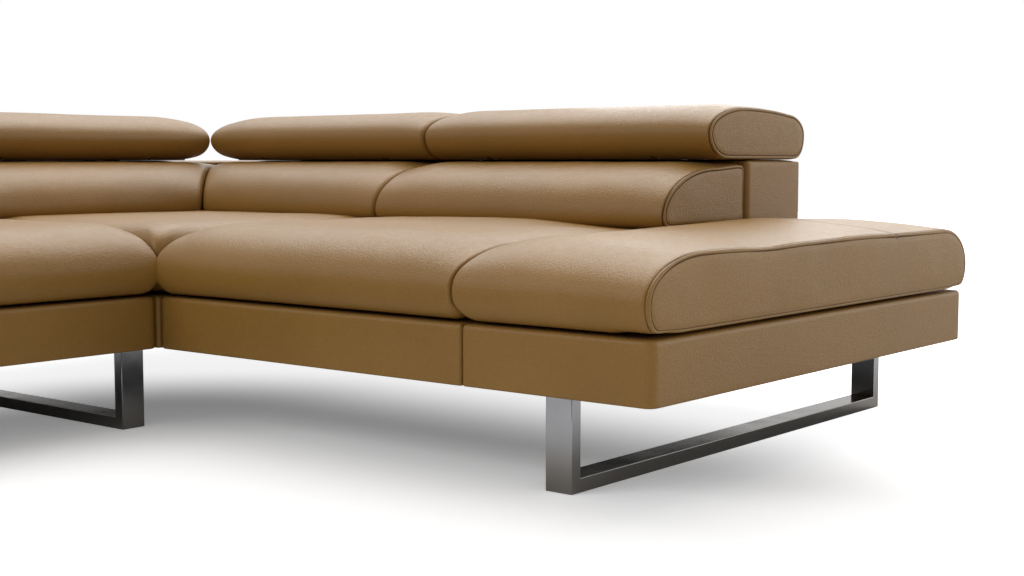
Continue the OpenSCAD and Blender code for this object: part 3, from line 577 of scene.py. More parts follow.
HEAD_ROLL_H = 61
HEAD_FRONT_RUN = 80
HEAD_REAR_RUN = 46
HEAD_REAR_SWELL = 5
HEAD_TAIL_RUN = 84
HEAD_NOSE_RUN = 167
HEAD_FALL = 12
HEAD_FALL_POWER = 2.2
HEAD_STILL = (HEAD.low[2] + 16, math.inf)


def head_section():
    front, low = HEAD.low[1:]
    rear, high = HEAD.high[1] + HEAD_REAR_SWELL, HEAD.high[2]
    roll = low + HEAD_ROLL_H
    bottom = np.concatenate([
        arc((front + HEAD_FRONT_RUN, roll), (HEAD_FRONT_RUN, HEAD_ROLL_H), 180, 270),
        arc((rear - HEAD_REAR_RUN, roll), (HEAD_REAR_RUN, HEAD_ROLL_H), 270, 360)])
    crest = front + HEAD_NOSE_RUN
    shoulder = rear - HEAD_TAIL_RUN
    hump = [(crest + (shoulder - crest) * s, high - HEAD_FALL * s ** HEAD_FALL_POWER)
            for s in np.linspace(1, 0, 12)[1:-1]]
    top = np.concatenate([
        arc((shoulder, roll), (HEAD_TAIL_RUN, high - HEAD_FALL - roll), 0, 90),
        hump,
        arc((crest, roll), (HEAD_NOSE_RUN, high - roll), 90, 180)])
    return Section(bottom, top, roll, high, HEAD_STILL)


# Lofts of a section along a wing

CAP_ROWS = 32
END_ROOM = 8
JOINT_ANGLES = (0, 12, 25, 38, 52, 66, 78, 90)
LOW_END, MIDDLE, HIGH_END = range(3)


def cap(points, faces, marks, ring_start, section, bulge):
    """Closes an end: rungs from the ring's bottom to its top, and a soft bulge."""
    half = section.half
    grid = np.zeros((half + 1, CAP_ROWS + 1), dtype=int)
    grid[0, :] = ring_start
    grid[half, :] = ring_start + half
    for k in range(1, half):
        low = ring_start + k
        high = ring_start + 2 * half - k
        grid[k, 0] = low
        grid[k, CAP_ROWS] = high
        a = np.array(points[low])
        b = np.array(points[high])
        along = min(1.0, 10 * k / half * (1 - k / half))
        for t in range(1, CAP_ROWS):
            share = t / CAP_ROWS
            p = a + (b - a) * share
            p[0] += bulge * math.sqrt(4 * share * (1 - share)) * along
            grid[k, t] = len(points)
            points.append(p)
    for k in range(half):
        for t in range(CAP_ROWS):
            corners = (grid[k, t], grid[k + 1, t], grid[k + 1, t + 1], grid[k, t + 1])
            quad = list(dict.fromkeys(map(int, corners)))
            if len(quad) > 2:
                faces.append(quad)
                marks.append(0)


def find_stations(section, x0, x1, low, high, mitre):
    """Where the rings stand: a distance from an end or a share of the way, the inset,
    the material and the part of the cushion."""
    room_low = low[-1][0] + END_ROOM
    room_high = high[-1][0] + END_ROOM
    starts = x0 - section.ring[:, 0] if mitre else np.array([x0])
    shortest = x1 - starts.max()
    steps = int((x1 - starts.mean() - room_low - room_high) / GRID)
    middles = np.linspace(room_low / shortest, 1 - room_high / shortest, steps)
    stations = [(*row, LOW_END) for row in low]
    stations += [(f, 0.0, 0, MIDDLE) for f in middles]
    return stations + [(*row, HIGH_END) for row in reversed(high)]


def ring_at(station, section, x0, x1, falls, mitre, mould):
    d, e, _, part = station
    ring = inset(section.ring, e)
    start = x0 - ring[:, 0] if mitre else np.full(len(ring), float(x0))
    x = {LOW_END: start + d, MIDDLE: start + d * (x1 - start), HIGH_END: np.full(len(ring), x1 - d)}[part]
    to_low = d if part == LOW_END else x - start
    to_high = d if part == HIGH_END else x1 - x
    drop = falls[0][0] * fading(to_low, falls[0][1]) + falls[1][0] * fading(to_high, falls[1][1])
    share = np.clip((ring[:, 1] - section.roll) / (section.high - section.roll), 0, None)
    ring = np.stack([x, ring[:, 0], ring[:, 1] - drop * share], axis=1)
    return mould(ring, to_low, to_high) if mould else ring


def long_form(section, x0, x1, joint_r, falls, bulge=0.0, mitre=False, mould=None):
    """Points, faces and face materials of a cushion from x0 to x1. Its low end is
    square, or cut on the mitre plane x = -y. Its high end is open, with a seam, where
    it bulges. falls are the drop and its run towards each end, for the part of the
    section over the roll. mould moves the points of a ring once more, by their
    distances from the two ends."""
    low = [(d, e, 0) for d, e in quarter(joint_r, JOINT_ANGLES)]
    high = SEAM_END if bulge else low
    stations = find_stations(section, x0, x1, low, high, mitre)
    rings = [ring_at(station, section, x0, x1, falls, mitre, mould) for station in stations]
    first, last = len(low) - 1, len(rings) - len(high)
    rows = first + coarse_places(last - first + 1, CLOTH_STEP)
    rings = stuffed(np.array(rings), rows, section.still, (0.0, SWELL_SHARE, SWELL_SHARE), True)
    count = 2 * section.half
    points = [p for ring in rings for p in ring]
    faces = tube_faces(len(rings), count)
    marks = []
    for here, after in zip(stations, stations[1:]):
        marks += [min(here[2], after[2])] * count
    cap(points, faces, marks, 0, section, 0.0)
    cap(points, faces, marks, (len(rings) - 1) * count, section, bulge)
    return points, faces, marks


# Joints: drops, lifts and bulges where two cushions meet. A zone is where a form
# begins along Y and the run over which it grows

CUSHION_GAP = 3
JOINT_R = 9
CORNER_JOINT_R = 22
PAD_END_R = 14
END_FALL = (14, 320)
NO_FALL = (0, 100)
PAD_FALL = (8, 120)
PAD_SEAM_FALL = (10, 120)
HEAD_JOINT_FALL = (8, 100)
HEAD_TIP_FALL = (10, 120)
HEAD_SEAM_FALL = (6, 100)
TOP_POWER = 1.5

JOINT_DROP = 16
JOINT_RUN = 130
LEFT_JOINT_DROP = 13
LEFT_JOINT_RUN = 60
JOINT_LOSS = 0.8
JOINT_LOSS_ZONE = (180, 420)


def joint_drop(y, share, distance, depth, run=JOINT_RUN):
    """How far a seat's top falls towards a joint: deep at the front, little at the rear."""
    front = depth * fading(distance, run) * (1 - JOINT_LOSS * rising(y, *JOINT_LOSS_ZONE))
    return front * np.clip(share, 0, 1) ** TOP_POWER


REAR_DROP = 12.5
REAR_FROM = 400
REAR_FULL = 110
REAR_ZONE = (440, 240)


def rear_drop(y, share, distance):
    """The broad fall of a seat module's rear beside the open end."""
    rear = REAR_DROP * smooth_step((REAR_FROM - distance) / (REAR_FROM - REAR_FULL))
    return rear * rising(y, *REAR_ZONE) * np.clip(share, 0, 1) ** TOP_POWER


LOWER_LIFT = 13
LOWER_LIFT_RUN = 30


def lower_lift(z, distance):
    """How far the lower corner of a seat cushion curves up at a joint."""
    return LOWER_LIFT * fading(distance, LOWER_LIFT_RUN) * smooth_step((ROLL - z) / (ROLL - RIM))


JOINT_BULGE = 15
BULGE_Y = -15
BULGE_Z = 350
BULGE_UP = 76
BULGE_DOWN = 48
BULGE_DEEP = 90
BULGE_ALONG = 60


def nose_bulge(y, z, distance):
    """How far an open end's cushion leans over its neighbour, low on the front."""
    reach = np.where(z > BULGE_Z, BULGE_UP, BULGE_DOWN)
    away = ((z - BULGE_Z) / reach) ** 4 + ((y - BULGE_Y) / BULGE_DEEP) ** 2 + distance / BULGE_ALONG
    return JOINT_BULGE * np.exp(-away)


# Moulds: what gives each kind of cushion its own form. A mound is its height, its
# middle and its width

REAR_CROWN = 4.5
REAR_CROWN_ZONE = (400, 260)
TOP_SEAM_Y = 945
TOP_SEAM_W = 5
TOP_SEAM_REACH = 30
TOP_GROOVE = (3.2, TOP_SEAM_Y, 3.4)
TOP_GROOVE_ZONE = (0.6, 0.2)
END_SEAM_DEPTH = 1.3
END_SEAM_DIP = (-4, 390, 95)
END_SEAM_SWELL = (2.5, 760, 150)
END_SEAM_FADE = (1, 0, 90)
END_CROWN_ALONG = (10, 120, 200)
END_CROWN_DEEP = (1, 900, 230)
UNDERSIDE_H = 12
PAD_PULL = (12, 0, 30)
PAD_PULL_DEPTH = 60
PAD_RISE = 7
PAD_RISE_ZONE = (890, 130)
HEAD_TIP_LIFT = 12
HEAD_TIP_RUN = 90


def mould_seat(depth, run):
    """Moulds a seat cushion between two joints; depth and run are its drop at the corner."""
    def mould(ring, to_low, to_high):
        y, z = ring[:, 1], ring[:, 2].copy()
        share = (z - ROLL) / (SEAT_TOP - ROLL)
        along = to_low / (to_low + to_high)
        crown = REAR_CROWN * np.sin(np.pi * along) ** 2 * rising(y, *REAR_CROWN_ZONE)
        drop = joint_drop(y, share, to_low, depth, run) + joint_drop(y, share, to_high, JOINT_DROP)
        drop += rear_drop(y, share, to_high)
        ring[:, 2] += crown * np.clip(share, 0, 1) - drop + lower_lift(z, to_low) + lower_lift(z, to_high)
        ring[:, 0] -= nose_bulge(y, z, to_high)
        return ring
    return mould


def mould_end_seat(ring, to_low, to_high):
    """Moulds an open end's cushion: it bulges over its neighbour, its underside
    lifts along the end seam, the seam runs in slow waves and a seam crosses its top."""
    y, z = ring[:, 1], ring[:, 2].copy()
    share = np.clip((z - ROLL) / (SEAT_TOP - ROLL), 0, 1)
    under_lift = (RIM - BED) * smooth_step((SEAT_BED_IN - to_high) / (SEAT_BED_IN - SEAT_RIM_IN))
    low_part = np.clip((RIM + UNDERSIDE_H - z) / UNDERSIDE_H, 0, 1)
    wave = (mound(y, *END_SEAM_DIP) + mound(y, *END_SEAM_SWELL)) * mound(to_high, *END_SEAM_FADE)
    crown = mound(to_low, *END_CROWN_ALONG) * mound(y, *END_CROWN_DEEP)
    groove = mound(y, *TOP_GROOVE) * rising(share, *TOP_GROOVE_ZONE)
    ring[:, 2] += under_lift * low_part + wave * share + crown * share - groove
    ring[:, 2] += lower_lift(z, to_low) - joint_drop(y, share, to_low, JOINT_DROP)
    ring[:, 0] -= nose_bulge(y, z, to_low)
    return ring


def mould_back_pad(ring, to_low, to_high):
    """Draws the rear in at the end seam, and lets the seam rise towards the rear."""
    y, z = ring[:, 1].copy(), ring[:, 2].copy()
    rear_part = np.clip((y - (BACK_PAD.high[1] - PAD_PULL_DEPTH)) / PAD_PULL_DEPTH, 0, 1)
    ring[:, 1] -= mound(to_high, *PAD_PULL) * rear_part
    share = np.clip((z - ROLL) / (BACK_PAD.high[2] - ROLL), 0, 1)
    ring[:, 2] += PAD_RISE * fading(to_high, PAD_SEAM_FALL[1]) * rising(y, *PAD_RISE_ZONE) * share ** 2
    return ring


def mould_headrest(ring, to_low, to_high):
    """Lifts the underside towards the tip beside the inner corner."""
    low_share = np.clip((HEAD.low[2] + HEAD_ROLL_H - ring[:, 2]) / HEAD_ROLL_H, 0, 1)
    ring[:, 2] += HEAD_TIP_LIFT * fading(to_low, HEAD_TIP_RUN) * low_share
    return ring


# Slow waves of the leather, as pairs of a height and a length

SEAT_WAVES = ((2.4, 190), (0.5, 55))
HEAD_WAVES = ((1.4, 170), (0.4, 60))
PAD_WAVES = ((1.2, 150), (0.7, 62))
WAVE_FADE = 40
SEED_STEP = (17.3, 5.1, 9.7)
SEAT_SEED = 1
PAD_SEED = 21
HEAD_SEED = 41
CORNER_SEED = 61
NEXT_SEED = 10


def add_waves(piece, seed, waves, keep_low):
    """Slow unevenness along the normals, the same for each run; it fades out below
    keep_low."""
    offset = Vector([seed * step for step in SEED_STEP])
    mesh = piece.data
    heights = np.array([v.co.z for v in mesh.vertices]) / MM
    normals = [v.normal.copy() for v in mesh.vertices]
    fades = rising(heights, keep_low, WAVE_FADE)
    for vertex, normal, fade in zip(mesh.vertices, normals, fades):
        if fade > 0:
            lift = sum(height * noise.noise(vertex.co / (length * MM) + offset) for height, length in waves)
            vertex.co += normal * (lift * fade * MM)


# Cushions: a kind is the patterns of its name, node and body, its fill, its waves
# and the height over which they show

SEAT_KIND = ("seat_{}", "seat_cushion_{}", "root", 0.8, SEAT_WAVES, RIM)
PAD_KIND = ("back_pad_{}", "back_cushion_{}", "root", 0.75, PAD_WAVES, SEAT_TOP)
HEAD_KIND = ("headrest_{}_pad", "headrest_cushion_{}", "headrest_{}", 0.85, HEAD_WAVES, HEAD.low[2] + 20)


def finish_cushion(kind, place, form, wing, seed):
    name, node, body, fill, waves, keep_low = kind
    points, faces, marks = form
    piece = make_object(name.format(place), points, faces, wing, body.format(place), (LEATHER, GROOVE_SHADE_LEATHER), marks)
    add_waves(piece, seed, waves, keep_low)
    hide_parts(node.format(place))
    return piece


def mark_top_seam(form):
    """Paints the seam that crosses an open end's cushion with the groove's shade, in the darker leather."""
    points, faces, marks = form
    end_face = END_PAD.high[0] - SIDE_BULGE - END_SEAM_DEPTH
    for k, face in enumerate(faces):
        middle = sum(np.array(points[i]) for i in face) / len(face)
        on_top = middle[2] > SEAT_TOP - TOP_SEAM_REACH and middle[0] < end_face
        if on_top and abs(middle[1] - TOP_SEAM_Y) < TOP_SEAM_W / 2:
            marks[k] = 1


SIDE_BULGE = 2
SMALL_BULGE = 1


def make_seat_cushions():
    seat = seat_section(SEAT_PAD.low[1], SEAT_PAD.high[1], SEAT_LOWER_R)
    end = seat_section(END_PAD.low[1], END_PAD.high[1], TAIL_RUN, TOP_SEAM_Y)
    for seed, wing in enumerate(WINGS, SEAT_SEED):
        drop = (JOINT_DROP, JOINT_RUN) if wing == "right" else (LEFT_JOINT_DROP, LEFT_JOINT_RUN)
        form = long_form(seat, SEAT_PAD.low[0], SEAT_PAD.high[0], JOINT_R, (NO_FALL, NO_FALL),
                         mould=mould_seat(*drop))
        finish_cushion(SEAT_KIND, wing, form, wing, seed)
        form = long_form(end, END_PAD.low[0], END_PAD.high[0] - SIDE_BULGE, JOINT_R, (NO_FALL, END_FALL),
                         SIDE_BULGE, mould=mould_end_seat)
        mark_top_seam(form)
        finish_cushion(SEAT_KIND, f"end_{wing}", form, wing, seed + NEXT_SEED)


MITRE_GAP = 2


def make_back_cushions():
    section = back_pad_section()
    for seed, wing in enumerate(WINGS, PAD_SEED):
        form = long_form(section, BACK_PAD.low[0], BACK_PAD.high[0] - SMALL_BULGE, PAD_END_R,
                         (PAD_FALL, PAD_SEAM_FALL), SMALL_BULGE, mould=mould_back_pad)
        finish_cushion(PAD_KIND, wing, form, wing, seed)
        form = long_form(section, MITRE_GAP, -CUSHION_GAP / 2, PAD_END_R, (PAD_FALL, PAD_FALL), mitre=True)
        finish_cushion(PAD_KIND, f"corner_{wing}", form, wing, seed + NEXT_SEED)


# Headrests, with room in the underside for their boards and hinges

BOARD_FIT = 0.3
CUTTER_DEPTH = 20
HINGE_INSET = 190
ARM_ROOM_W = 9
ARM_ROOM_FRONT = 15
ARM_ROOM_REAR = 6
SLOT_W = 22
SLOT_ROOM = 4
SLOT_ROOM_UP = 2
SLOT_LAP = 10
SLOT_REAR_Z = 640
SLOT_SHORT = 14
FLANGE_ROOM_W = 44
FLANGE_RUN = 64
FLANGE_ROOM = 2
FLANGE_ROOM_UP = 6
SHARP_ANGLE = 40


def hinge_places(cushion_low, cushion_high):
    return [cushion_low[0] + HINGE_INSET, cushion_high[0] - HINGE_INSET]


def box_cutter(low, high):
    mesh = bpy.data.meshes.new("cutter")
    form = bmesh.new()
    bmesh.ops.create_cube(form, size=1.0)
    size = (np.array(high) - np.array(low)) * MM
    middle = (np.array(high) + np.array(low)) / 2 * MM
    bmesh.ops.scale(form, vec=Vector(size), verts=form.verts)
    bmesh.ops.translate(form, vec=Vector(middle), verts=form.verts)
    form.to_mesh(mesh)
    form.free()
    return mesh


def cut(piece, meshes):
    """Takes each closed mesh out of the piece and keeps the result as its mesh."""
    for mesh in meshes:
        cutter = add_object("cutter", mesh)
        modifier = piece.modifiers.new("cut", "BOOLEAN")
        modifier.operation = "DIFFERENCE"
        modifier.solver = "EXACT"
        modifier.object = cutter
        graph = bpy.context.evaluated_depsgraph_get()
        result = bpy.data.meshes.new_from_object(piece.evaluated_get(graph))
        piece.modifiers.clear()
        piece.data = result
        bpy.data.objects.remove(cutter)
    piece.data.set_sharp_from_angle(angle=math.radians(SHARP_ANGLE))


def hinge_rooms(x, floor, board_top):
    """Low and high corners of the boxes that one hinge needs: for the raised arm, the
    brackets, the lowered arm and the brackets' flanges."""
    front, rear = BRACKETS.low[1], BRACKETS.high[1]
    rooms = [
        (ARM_ROOM_W, front - ARM_ROOM_FRONT, front + ARM_ROOM_REAR, BRACKETS.high[2]),
        (SLOT_W, front - SLOT_ROOM, rear + SLOT_ROOM, BRACKETS.high[2] + SLOT_ROOM_UP),
        (SLOT_W, rear - SLOT_LAP, ARMS.high[1] - SLOT_SHORT, SLOT_REAR_Z),
        (FLANGE_ROOM_W, rear - FLANGE_RUN, rear + FLANGE_ROOM, board_top + FLANGE_ROOM_UP)]
    return [((x - width / 2, y0, floor), (x + width / 2, y1, top)) for width, y0, y1, top in rooms]


def head_recesses(low, high, board_low, board_high, wing):
    """Room in the underside for the board, the brackets and the arms."""
    floor = low[2] - CUTTER_DEPTH
    boxes = [((*(board_low - BOARD_FIT)[:2], floor), board_high + BOARD_FIT)]
    for x in hinge_places(low, high):
        boxes += hinge_rooms(x, floor, board_high[2])
    meshes = [box_cutter(*box) for box in boxes]
    for mesh in meshes:
        mesh.transform(WORLD_OF[wing])
        if wing == "left":
            mesh.flip_normals()
    return meshes


def make_headrests():
    section = head_section()
    seam_place = HEAD.high - (SMALL_BULGE, 0.0, 0.0)
    for seed, wing in enumerate(WINGS, HEAD_SEED):
        form = long_form(section, HEAD.low[0], seam_place[0], PAD_END_R, (HEAD_JOINT_FALL, HEAD_SEAM_FALL),
                         SMALL_BULGE)
        piece = finish_cushion(HEAD_KIND, wing, form, wing, seed)
        cut(piece, head_recesses(HEAD.low, seam_place, *BOARD, wing))
        form = long_form(section, HEAD_CORNER.low[0], HEAD_CORNER.high[0], PAD_END_R,
                         (HEAD_TIP_FALL, HEAD_JOINT_FALL), mould=mould_headrest)
        piece = finish_cushion(HEAD_KIND, f"corner_{wing}", form, wing, seed + NEXT_SEED)
        cut(piece, head_recesses(*HEAD_CORNER, *BOARD_CORNER, wing))


# Plans: convex outlines with round corners, as rings with equal counts

PLAN_CORNER_STEPS = 6
SMALLEST_R = 1


def rectangle(low, high):
    return [(low[0], low[1]), (high[0], low[1]), (high[0], high[1]), (low[0], high[1])]


def plan_ring(corners, distance, radii):
    """The outline moved inwards, with round corners; counts depend on corners only."""
    corners = [np.array(c, dtype=float) for c in corners]
    n = len(corners)
    edges = []
    for k in range(n):
        side = corners[(k + 1) % n] - corners[k]
        way = side / np.linalg.norm(side)
        inward = np.array([-way[1], way[0]])
        edges.append((corners[k] + inward * distance, way, np.linalg.norm(side)))
    moved = []
    for k in range(n):
        p, u, _ = edges[k - 1]
        q, v, _ = edges[k]
        t = np.linalg.solve(np.stack([u, -v], axis=1), q - p)
        moved.append(p + u * t[0])
    turns = [math.acos(np.clip(np.dot(edges[k - 1][1], edges[k][1]), -1, 1)) for k in range(n)]
    reaches = [radii[k] * math.tan(turns[k] / 2) for k in range(n)]
    ring = []
    for k in range(n):
        before, way, length = edges[k - 1][1], edges[k][1], edges[k][2]
        start = moved[k] - before * reaches[k]
        center = start + np.array([-before[1], before[0]]) * radii[k]
        angle = math.atan2(start[1] - center[1], start[0] - center[0])
        for s in range(PLAN_CORNER_STEPS + 1):
            a = angle + turns[k] * s / PLAN_CORNER_STEPS
            ring.append(center + radii[k] * np.array([math.cos(a), math.sin(a)]))
        after = (k + 1) % n
        stop = moved[after] - way * reaches[after]
        leave = ring[-1]
        steps = max(2, int(length / GRID))
        ring += [leave + (stop - leave) * s / steps for s in range(1, steps)]
    return np.array(ring)


def at_height(ring, z):
    return np.stack([ring[:, 0], ring[:, 1], np.full(len(ring), float(z))], axis=1)


def cover_ring(corners, distance, radii, z):
    """A plan ring at a height, whose corners get sharper as it moves inwards."""
    return at_height(plan_ring(corners, distance, [max(r - distance, SMALLEST_R) for r in radii]), z)


def layered_form(layers):
    """Points and faces from rings of equal count; the first and last are closed."""
    count = len(layers[0])
    points = [p for ring in layers for p in ring]
    return points, tube_faces(len(layers), count) + end_faces(len(layers), count)


# The corner's seat cushion

CORNER_CLOTH_STEP = 2
CORNER_SWELL = 0.12
CROWN_RUN = 150
CROWN_POWER = 4
CROWN_SHARES = (0.12, 0.24, 0.36, 0.48, 0.6, 0.7, 0.8, 0.87, 0.92, 0.96, 0.985, 0.997)
BED_INSETS = (480, 400, 300, 200, 140, SEAT_BED_IN)
TOP_INSETS = (CROWN_RUN, 180, 215, 255, 300, 350, 400, 450, 490)
RIM_FOLD = (6, 12)
RADIUS_GROWTH = 0.55
RADIUS_LIMIT = 0.9


def make_corner_cushion():
    """The square cushion in the corner: crowned, drawn in at its lower edge."""
    half = (CORNER_PAD.high[0] - CORNER_PAD.low[0]) / 2
    layers = [(BED, e) for e in BED_INSETS]
    layers += [(RIM - RIM_FOLD[0], SEAT_RIM_IN + RIM_FOLD[1]), (RIM, SEAT_RIM_IN)]
    layers += [(ROLL + (ROLL - RIM) * math.sin(a), SEAT_LOWER_R * (1 - math.cos(a)))
               for a in np.radians(np.linspace(270, 360, 9))]
    layers += [(ROLL + (SEAT_TOP - ROLL) * u,
                CROWN_RUN * (1 - (1 - u ** CROWN_POWER) ** (1 / CROWN_POWER))) for u in CROWN_SHARES]
    layers += [(SEAT_TOP, e) for e in TOP_INSETS]
    rings = []
    for z, e in layers:
        radius = min(CORNER_JOINT_R + RADIUS_GROWTH * e, RADIUS_LIMIT * (half - e))
        rings.append(at_height(plan_ring(rectangle(*CORNER_PAD), e, [radius] * 4), z))
    rings = stuffed(np.array(rings), coarse_places(len(rings), CORNER_CLOTH_STEP), SEAT_STILL,
                    (0.0, 0.0, CORNER_SWELL), False)
    points, faces = layered_form(rings)
    finish_cushion(SEAT_KIND, "corner", (points, faces, [0] * len(faces)), "right", CORNER_SEED)


# Leather covers of the bases

WALL = 8
EDGE_R = 4
TOP_EDGE_R = 10
TOP_TURN = 20
DECK_W = 88
DECK_LIFT = 0.2
LOWEST_ROW = 10
OPEN_CORNER_R = 20
JOINT_CORNER_R = 8


def base_cover(place, low, high, radii, wing):
    """Leather over the four sides of a base, turned in at the top and the bottom."""
    deck = high[2] + DECK_LIFT
    profile = [(WALL, low[2])]
    profile += [(e, low[2] + z) for e, z in quarter(EDGE_R, np.linspace(90, 0, 5))]
    profile += [(0.0, z) for z in np.linspace(low[2] + LOWEST_ROW, high[2] - TOP_EDGE_R - EDGE_R, 8)]
    profile += [(e, high[2] - z) for e, z in quarter(TOP_EDGE_R, np.linspace(0, 90, 8))]
    profile += [(e, deck) for e in (TOP_TURN, DECK_W / 2, DECK_W)]
    profile += [(DECK_W, high[2]), (DECK_W / 2, high[2]), (WALL, high[2] - 1)]
    profile += [(WALL, z) for z in np.linspace(high[2] - TOP_TURN, low[2] + TOP_TURN, 5)]
    rings = [cover_ring(rectangle(low, high), e, radii, z) for e, z in profile]
    count = len(rings[0])
    points = [p for ring in rings for p in ring]
    faces = tube_faces(len(rings), count)
    last = count * (len(rings) - 1)
    faces += [[last + k, last + (k + 1) % count, (k + 1) % count, k] for k in range(count)]
    piece = make_object(f"base_{place}", points, faces, wing, "root")
    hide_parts(f"base_panels_{place}")


def make_bases():
    joint_r = JOINT_CORNER_R
    for wing in WINGS:
        base_cover(f"end_{wing}", *END, [joint_r, OPEN_CORNER_R, joint_r, joint_r], wing)
        base_cover(f"seat_{wing}", *SEAT, [OPEN_CORNER_R, joint_r, joint_r, joint_r], wing)
    base_cover("corner", *CORNER, [joint_r] * 4, "right")


# Leather covers of the backs

BACK_EDGE_R = 5
BACK_FRONT_R = 14
BACK_GAP = 1
BACK_PUFF = 7.5
BACK_INSETS = (9, 14, 20, 27, 34, 41, 48, 55, 62, 69, 77, 86, 95, 105, 115, 124)
SIDE_PUFF = (12, 46)
END_PUFF_FROM = 6
JOINT_PUFF_RUN = 24
OPEN_PUFF_RUN = 30
TIP_PUFF_RUN = 60
FOOT_W = 60
FOOT_RUN = 80
FOOT_MARGIN = 3
FOOT_DIP_RUN = 14
FOOT_DIP_POWER = 1.2


def round_rise(distance, run):
    """0 at no distance and 1 from the run on, along a quarter of a circle."""
    share = min(1.0, max(0.0, distance / run))
    return math.sqrt(1 - (1 - share) ** 2)


def back_rise(x, y, ends, hinges):
    """Rise of the padding over the back's flat top, pressed flat under the hinge feet.
    ends are the two ends, each with the run over which the padding rises there."""
    full = BACK.high[2] - ARMS.low[2]
    to_side = min(y - BACK.low[1], BACK.high[1] - y)
    inner = round_rise(to_side - SIDE_PUFF[0], SIDE_PUFF[1])
    for place, run in ends:
        inner *= round_rise(abs(x - place) - END_PUFF_FROM, run)
    rise = BACK_PUFF + (full - BACK_PUFF) * inner
    for hinge in hinges:
        beside = max(0.0, abs(x - hinge) - FOOT_W / 2 - FOOT_MARGIN)
        behind = max(0.0, y - ARMS.high[1] - FOOT_MARGIN, ARMS.high[1] - FOOT_RUN - FOOT_MARGIN - y)
        rise *= min(1.0, math.hypot(beside, behind) / FOOT_DIP_RUN) ** FOOT_DIP_POWER
    return rise


def back_cover(place, corners, radii, ends, hinges, wing):
    """Leather over a back: closed all round, soft edges, padded on top."""
    bottom = SEAT.high[2]
    flat_top = ARMS.low[2]
    r = BACK_EDGE_R
    top_edge = flat_top + BACK_PUFF - r
    layers = [(BACK_FRONT_R, bottom), (2.0, bottom), (0.0, bottom + 2)]
    layers += [(0.0, z) for z in np.linspace(bottom + 12, top_edge, 24)]
    layers += [(r * (1 - math.cos(a)), top_edge + r * math.sin(a)) for a in np.radians([22, 45, 68, 90])]
    layers += [(e, flat_top) for e in BACK_INSETS]
    rings = []
    for e, z in layers:
        ring = cover_ring(corners, e, radii, z)
        if z == flat_top:
            ring[:, 2] += [back_rise(p[0], p[1], ends, hinges) for p in ring]
        rings.append(ring)
    piece = make_object(f"back_{place}", *layered_form(rings), wing, "root")
    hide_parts(f"back_panels_{place}")


def make_backs():
    (x0, y0), (x1, y1) = BACK.low[:2], BACK.high[:2]
    tip_low, tip_high, joint_x = BACK_GAP - y0, BACK_GAP - y1, -BACK_GAP
    plain = BACK_EDGE_R
    for wing in WINGS:
        back_cover(wing, rectangle(*BACK), [plain, BACK_FRONT_R, plain, plain],
                   [(x0, JOINT_PUFF_RUN), (x1, OPEN_PUFF_RUN)], hinge_places(*HEAD), wing)
        corners = [(tip_low, y0), (joint_x, y0), (joint_x, y1), (tip_high, y1)]
        back_cover(f"corner_{wing}", corners, [plain] * 4,
                   [(-y0, TIP_PUFF_RUN), (joint_x, JOINT_PUFF_RUN)], hinge_places(*HEAD_CORNER), wing)


# Sleds: the frame's shapes with broken edges

SLED_EDGE = 2.2
SLED_EDGE_STEPS = 3
FLAT = 0.999


def make_sled(place):
    node = f"sled_leg_{place}"
    source = frame["nodes"][node]
    form = bmesh.new()
    form.from_mesh(source.data)
    bmesh.ops.remove_doubles(form, verts=form.verts, dist=1e-6)
    bmesh.ops.dissolve_limit(form, angle_limit=math.radians(1), verts=form.verts, edges=form.edges)
    sharp = [e for e in form.edges if len(e.link_faces) == 2 and e.calc_face_angle() > math.radians(30)]
    bmesh.ops.bevel(form, geom=sharp, offset=SLED_EDGE * MM, segments=SLED_EDGE_STEPS, profile=0.5,
                    affect="EDGES", clamp_overlap=True)
    mesh = bpy.data.meshes.new(f"sled_{place}")
    form.to_mesh(mesh)
    form.free()
    mesh.materials.append(MATERIALS["polished_steel"])
    mesh.shade_smooth()
    for face in mesh.polygons:
        face.use_smooth = max(abs(v) for v in face.normal) < FLAT
    piece = add_object(mesh.name, mesh)
    piece.matrix_world = source.matrix_world
    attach(piece, "root")
    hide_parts(node)


def make_sleds():
    for place in ("right", "middle", "left"):
        make_sled(place)


# Floor and light

FLOOR_HALF = 14
FLOOR_COLOR = (0.8, 0.8, 0.8, 1.0)
FLOOR_SEEN = (1.25, 1.25, 1.25, 1.0)
# The floor's glow for the camera: an even lift in front, rising under the sofa's rear as painted light.
GLOW_FRONT = 0.2
GLOW_REAR = 0.85
FADE_FROM = 0.3
FADE_TO = 0.95


def floor_material():
    """White floor that keeps the shadow. For the camera it is whiter, and the shadow
    fades out under the rear of the sofa, as it does in the photograph."""
    material, nodes, place = new_material("floor")
    seen = nodes.add("LightPath")["Is Camera Ray"]
    color = nodes.mix(seen, FLOOR_COLOR, FLOOR_SEEN)
    diffuse = nodes.add("BsdfDiffuse", {"Color": color})[0]
    parts = nodes.add("SeparateXYZ", {0: place})
    under_x = nodes.math("MINIMUM", parts["X"], 0.0)
    under_y = nodes.math("MAXIMUM", parts["Y"], 0.0)
    inside = nodes.add("CombineXYZ", {0: under_x, 1: under_y})[0]
    depth = nodes.add("VectorMath", {0: inside}, operation="LENGTH")["Value"]
    # Painted light: the camera sees the floor glow more the deeper it lies under the sofa, which fades the
    # shadow under its rear.
    glow = nodes.ramp(depth, FADE_FROM, FADE_TO, GLOW_FRONT, GLOW_REAR)
    light = nodes.add("Emission", {"Color": (1, 1, 1, 1), "Strength": nodes.math("MULTIPLY", seen, glow)})[0]
    nodes.add("OutputMaterial", {"Surface": nodes.add("AddShader", {0: diffuse, 1: light})[0]})
    return material


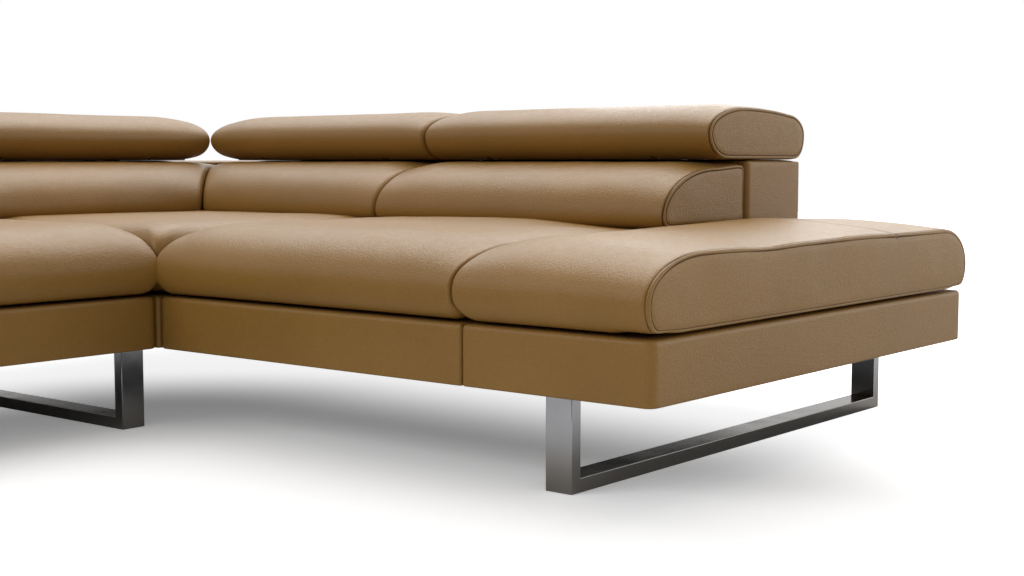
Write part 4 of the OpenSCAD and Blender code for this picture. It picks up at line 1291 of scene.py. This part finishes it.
def make_floor():
    mesh = bpy.data.meshes.new("floor")
    corners = rectangle((-FLOOR_HALF, -FLOOR_HALF), (FLOOR_HALF, FLOOR_HALF))
    mesh.from_pydata([(x, y, 0) for x, y in corners], [], [(0, 1, 2, 3)])
    mesh.materials.append(floor_material())
    add_object("floor", mesh)


# What reflections see of the room: a direction, where it begins and ends, as the
# cosine of the angle to it, and its light there
REAR_ROOM = ((-0.55, 0.68, 0.48), -0.5, 0.35, 0.04, 0.7)
SOFT_BOX = ((-0.22, 0.27, 0.94), 0.72, 1.0, 0.0, 2.6)
SIDE_WALL = ((0.63, 0.77, 0.0), 0.75, 1.0, 0.0, 1.3)
ROOM_LIGHT = 0.42


def make_world():
    """White for the camera. Reflections see a soft box over the rear, a white wall on
    the right and a dim room in front, as the photograph's sheen shows."""
    world = bpy.data.worlds.new("studio")
    nodes = Nodes(world)
    rays = nodes.add("LightPath")
    direction = nodes.add("TexCoord")["Generated"]

    def seen_light(side, *levels):
        facing = nodes.add("VectorMath", {0: direction, 1: side}, operation="DOT_PRODUCT")["Value"]
        return nodes.ramp(facing, *levels)

    shiny = nodes.math("ADD", seen_light(*REAR_ROOM), seen_light(*SOFT_BOX))
    shiny = nodes.math("ADD", shiny, seen_light(*SIDE_WALL))
    mirror = nodes.math("MAXIMUM", rays["Is Glossy Ray"], rays["Is Transmission Ray"])
    shown = nodes.add("Mix", {0: mirror, 2: ROOM_LIGHT, 3: shiny}, data_type="FLOAT")[0]
    strength = nodes.math("MAXIMUM", shown, rays["Is Camera Ray"])
    background = nodes.add("Background", {"Color": (1, 1, 1, 1), "Strength": strength})[0]
    nodes.add("OutputWorld", {"Surface": background})
    bpy.context.scene.world = world


def make_area_light(name, place, target, size, power):
    data = bpy.data.lights.new(name, "AREA")
    data.shape = "RECTANGLE"
    data.size, data.size_y = size
    data.energy = power
    light = add_object(name, data)
    light.location = place
    light.rotation_euler = (Vector(target) - Vector(place)).to_track_quat("-Z", "Y").to_euler()


def make_broad_light(name, direction, width, strength):
    """A far, broad light, as from a large soft box; it shines from the direction."""
    data = bpy.data.lights.new(name, "SUN")
    data.angle = math.radians(width)
    data.energy = strength
    light = add_object(name, data)
    light.rotation_euler = Vector(direction).to_track_quat("Z", "Y").to_euler()


def make_lights():
    sofa = (0.4, 0.0, 0.3)
    make_broad_light("back_light", direction=(-0.405, 0.495, 0.77), width=60.0, strength=0.95)
    make_area_light("rear_light", place=(0.1, 2.7, 1.35), target=(1.1, 0.5, 0.45), size=(1.6, 0.8), power=9.0)
    make_area_light("front_light", place=(-0.8, -3.6, 3.0), target=sofa, size=(2.6, 1.8), power=44.0)
    make_area_light("side_light", place=(4.0, 0.6, 1.8), target=sofa, size=(1.6, 1.2), power=8.0)
    make_world()
    bpy.context.scene.view_settings.view_transform = "Standard"


dress_cad_nodes()
make_seat_cushions()
make_corner_cushion()
make_back_cushions()
make_headrests()
make_bases()
make_backs()
make_sleds()
make_floor()
make_lights()
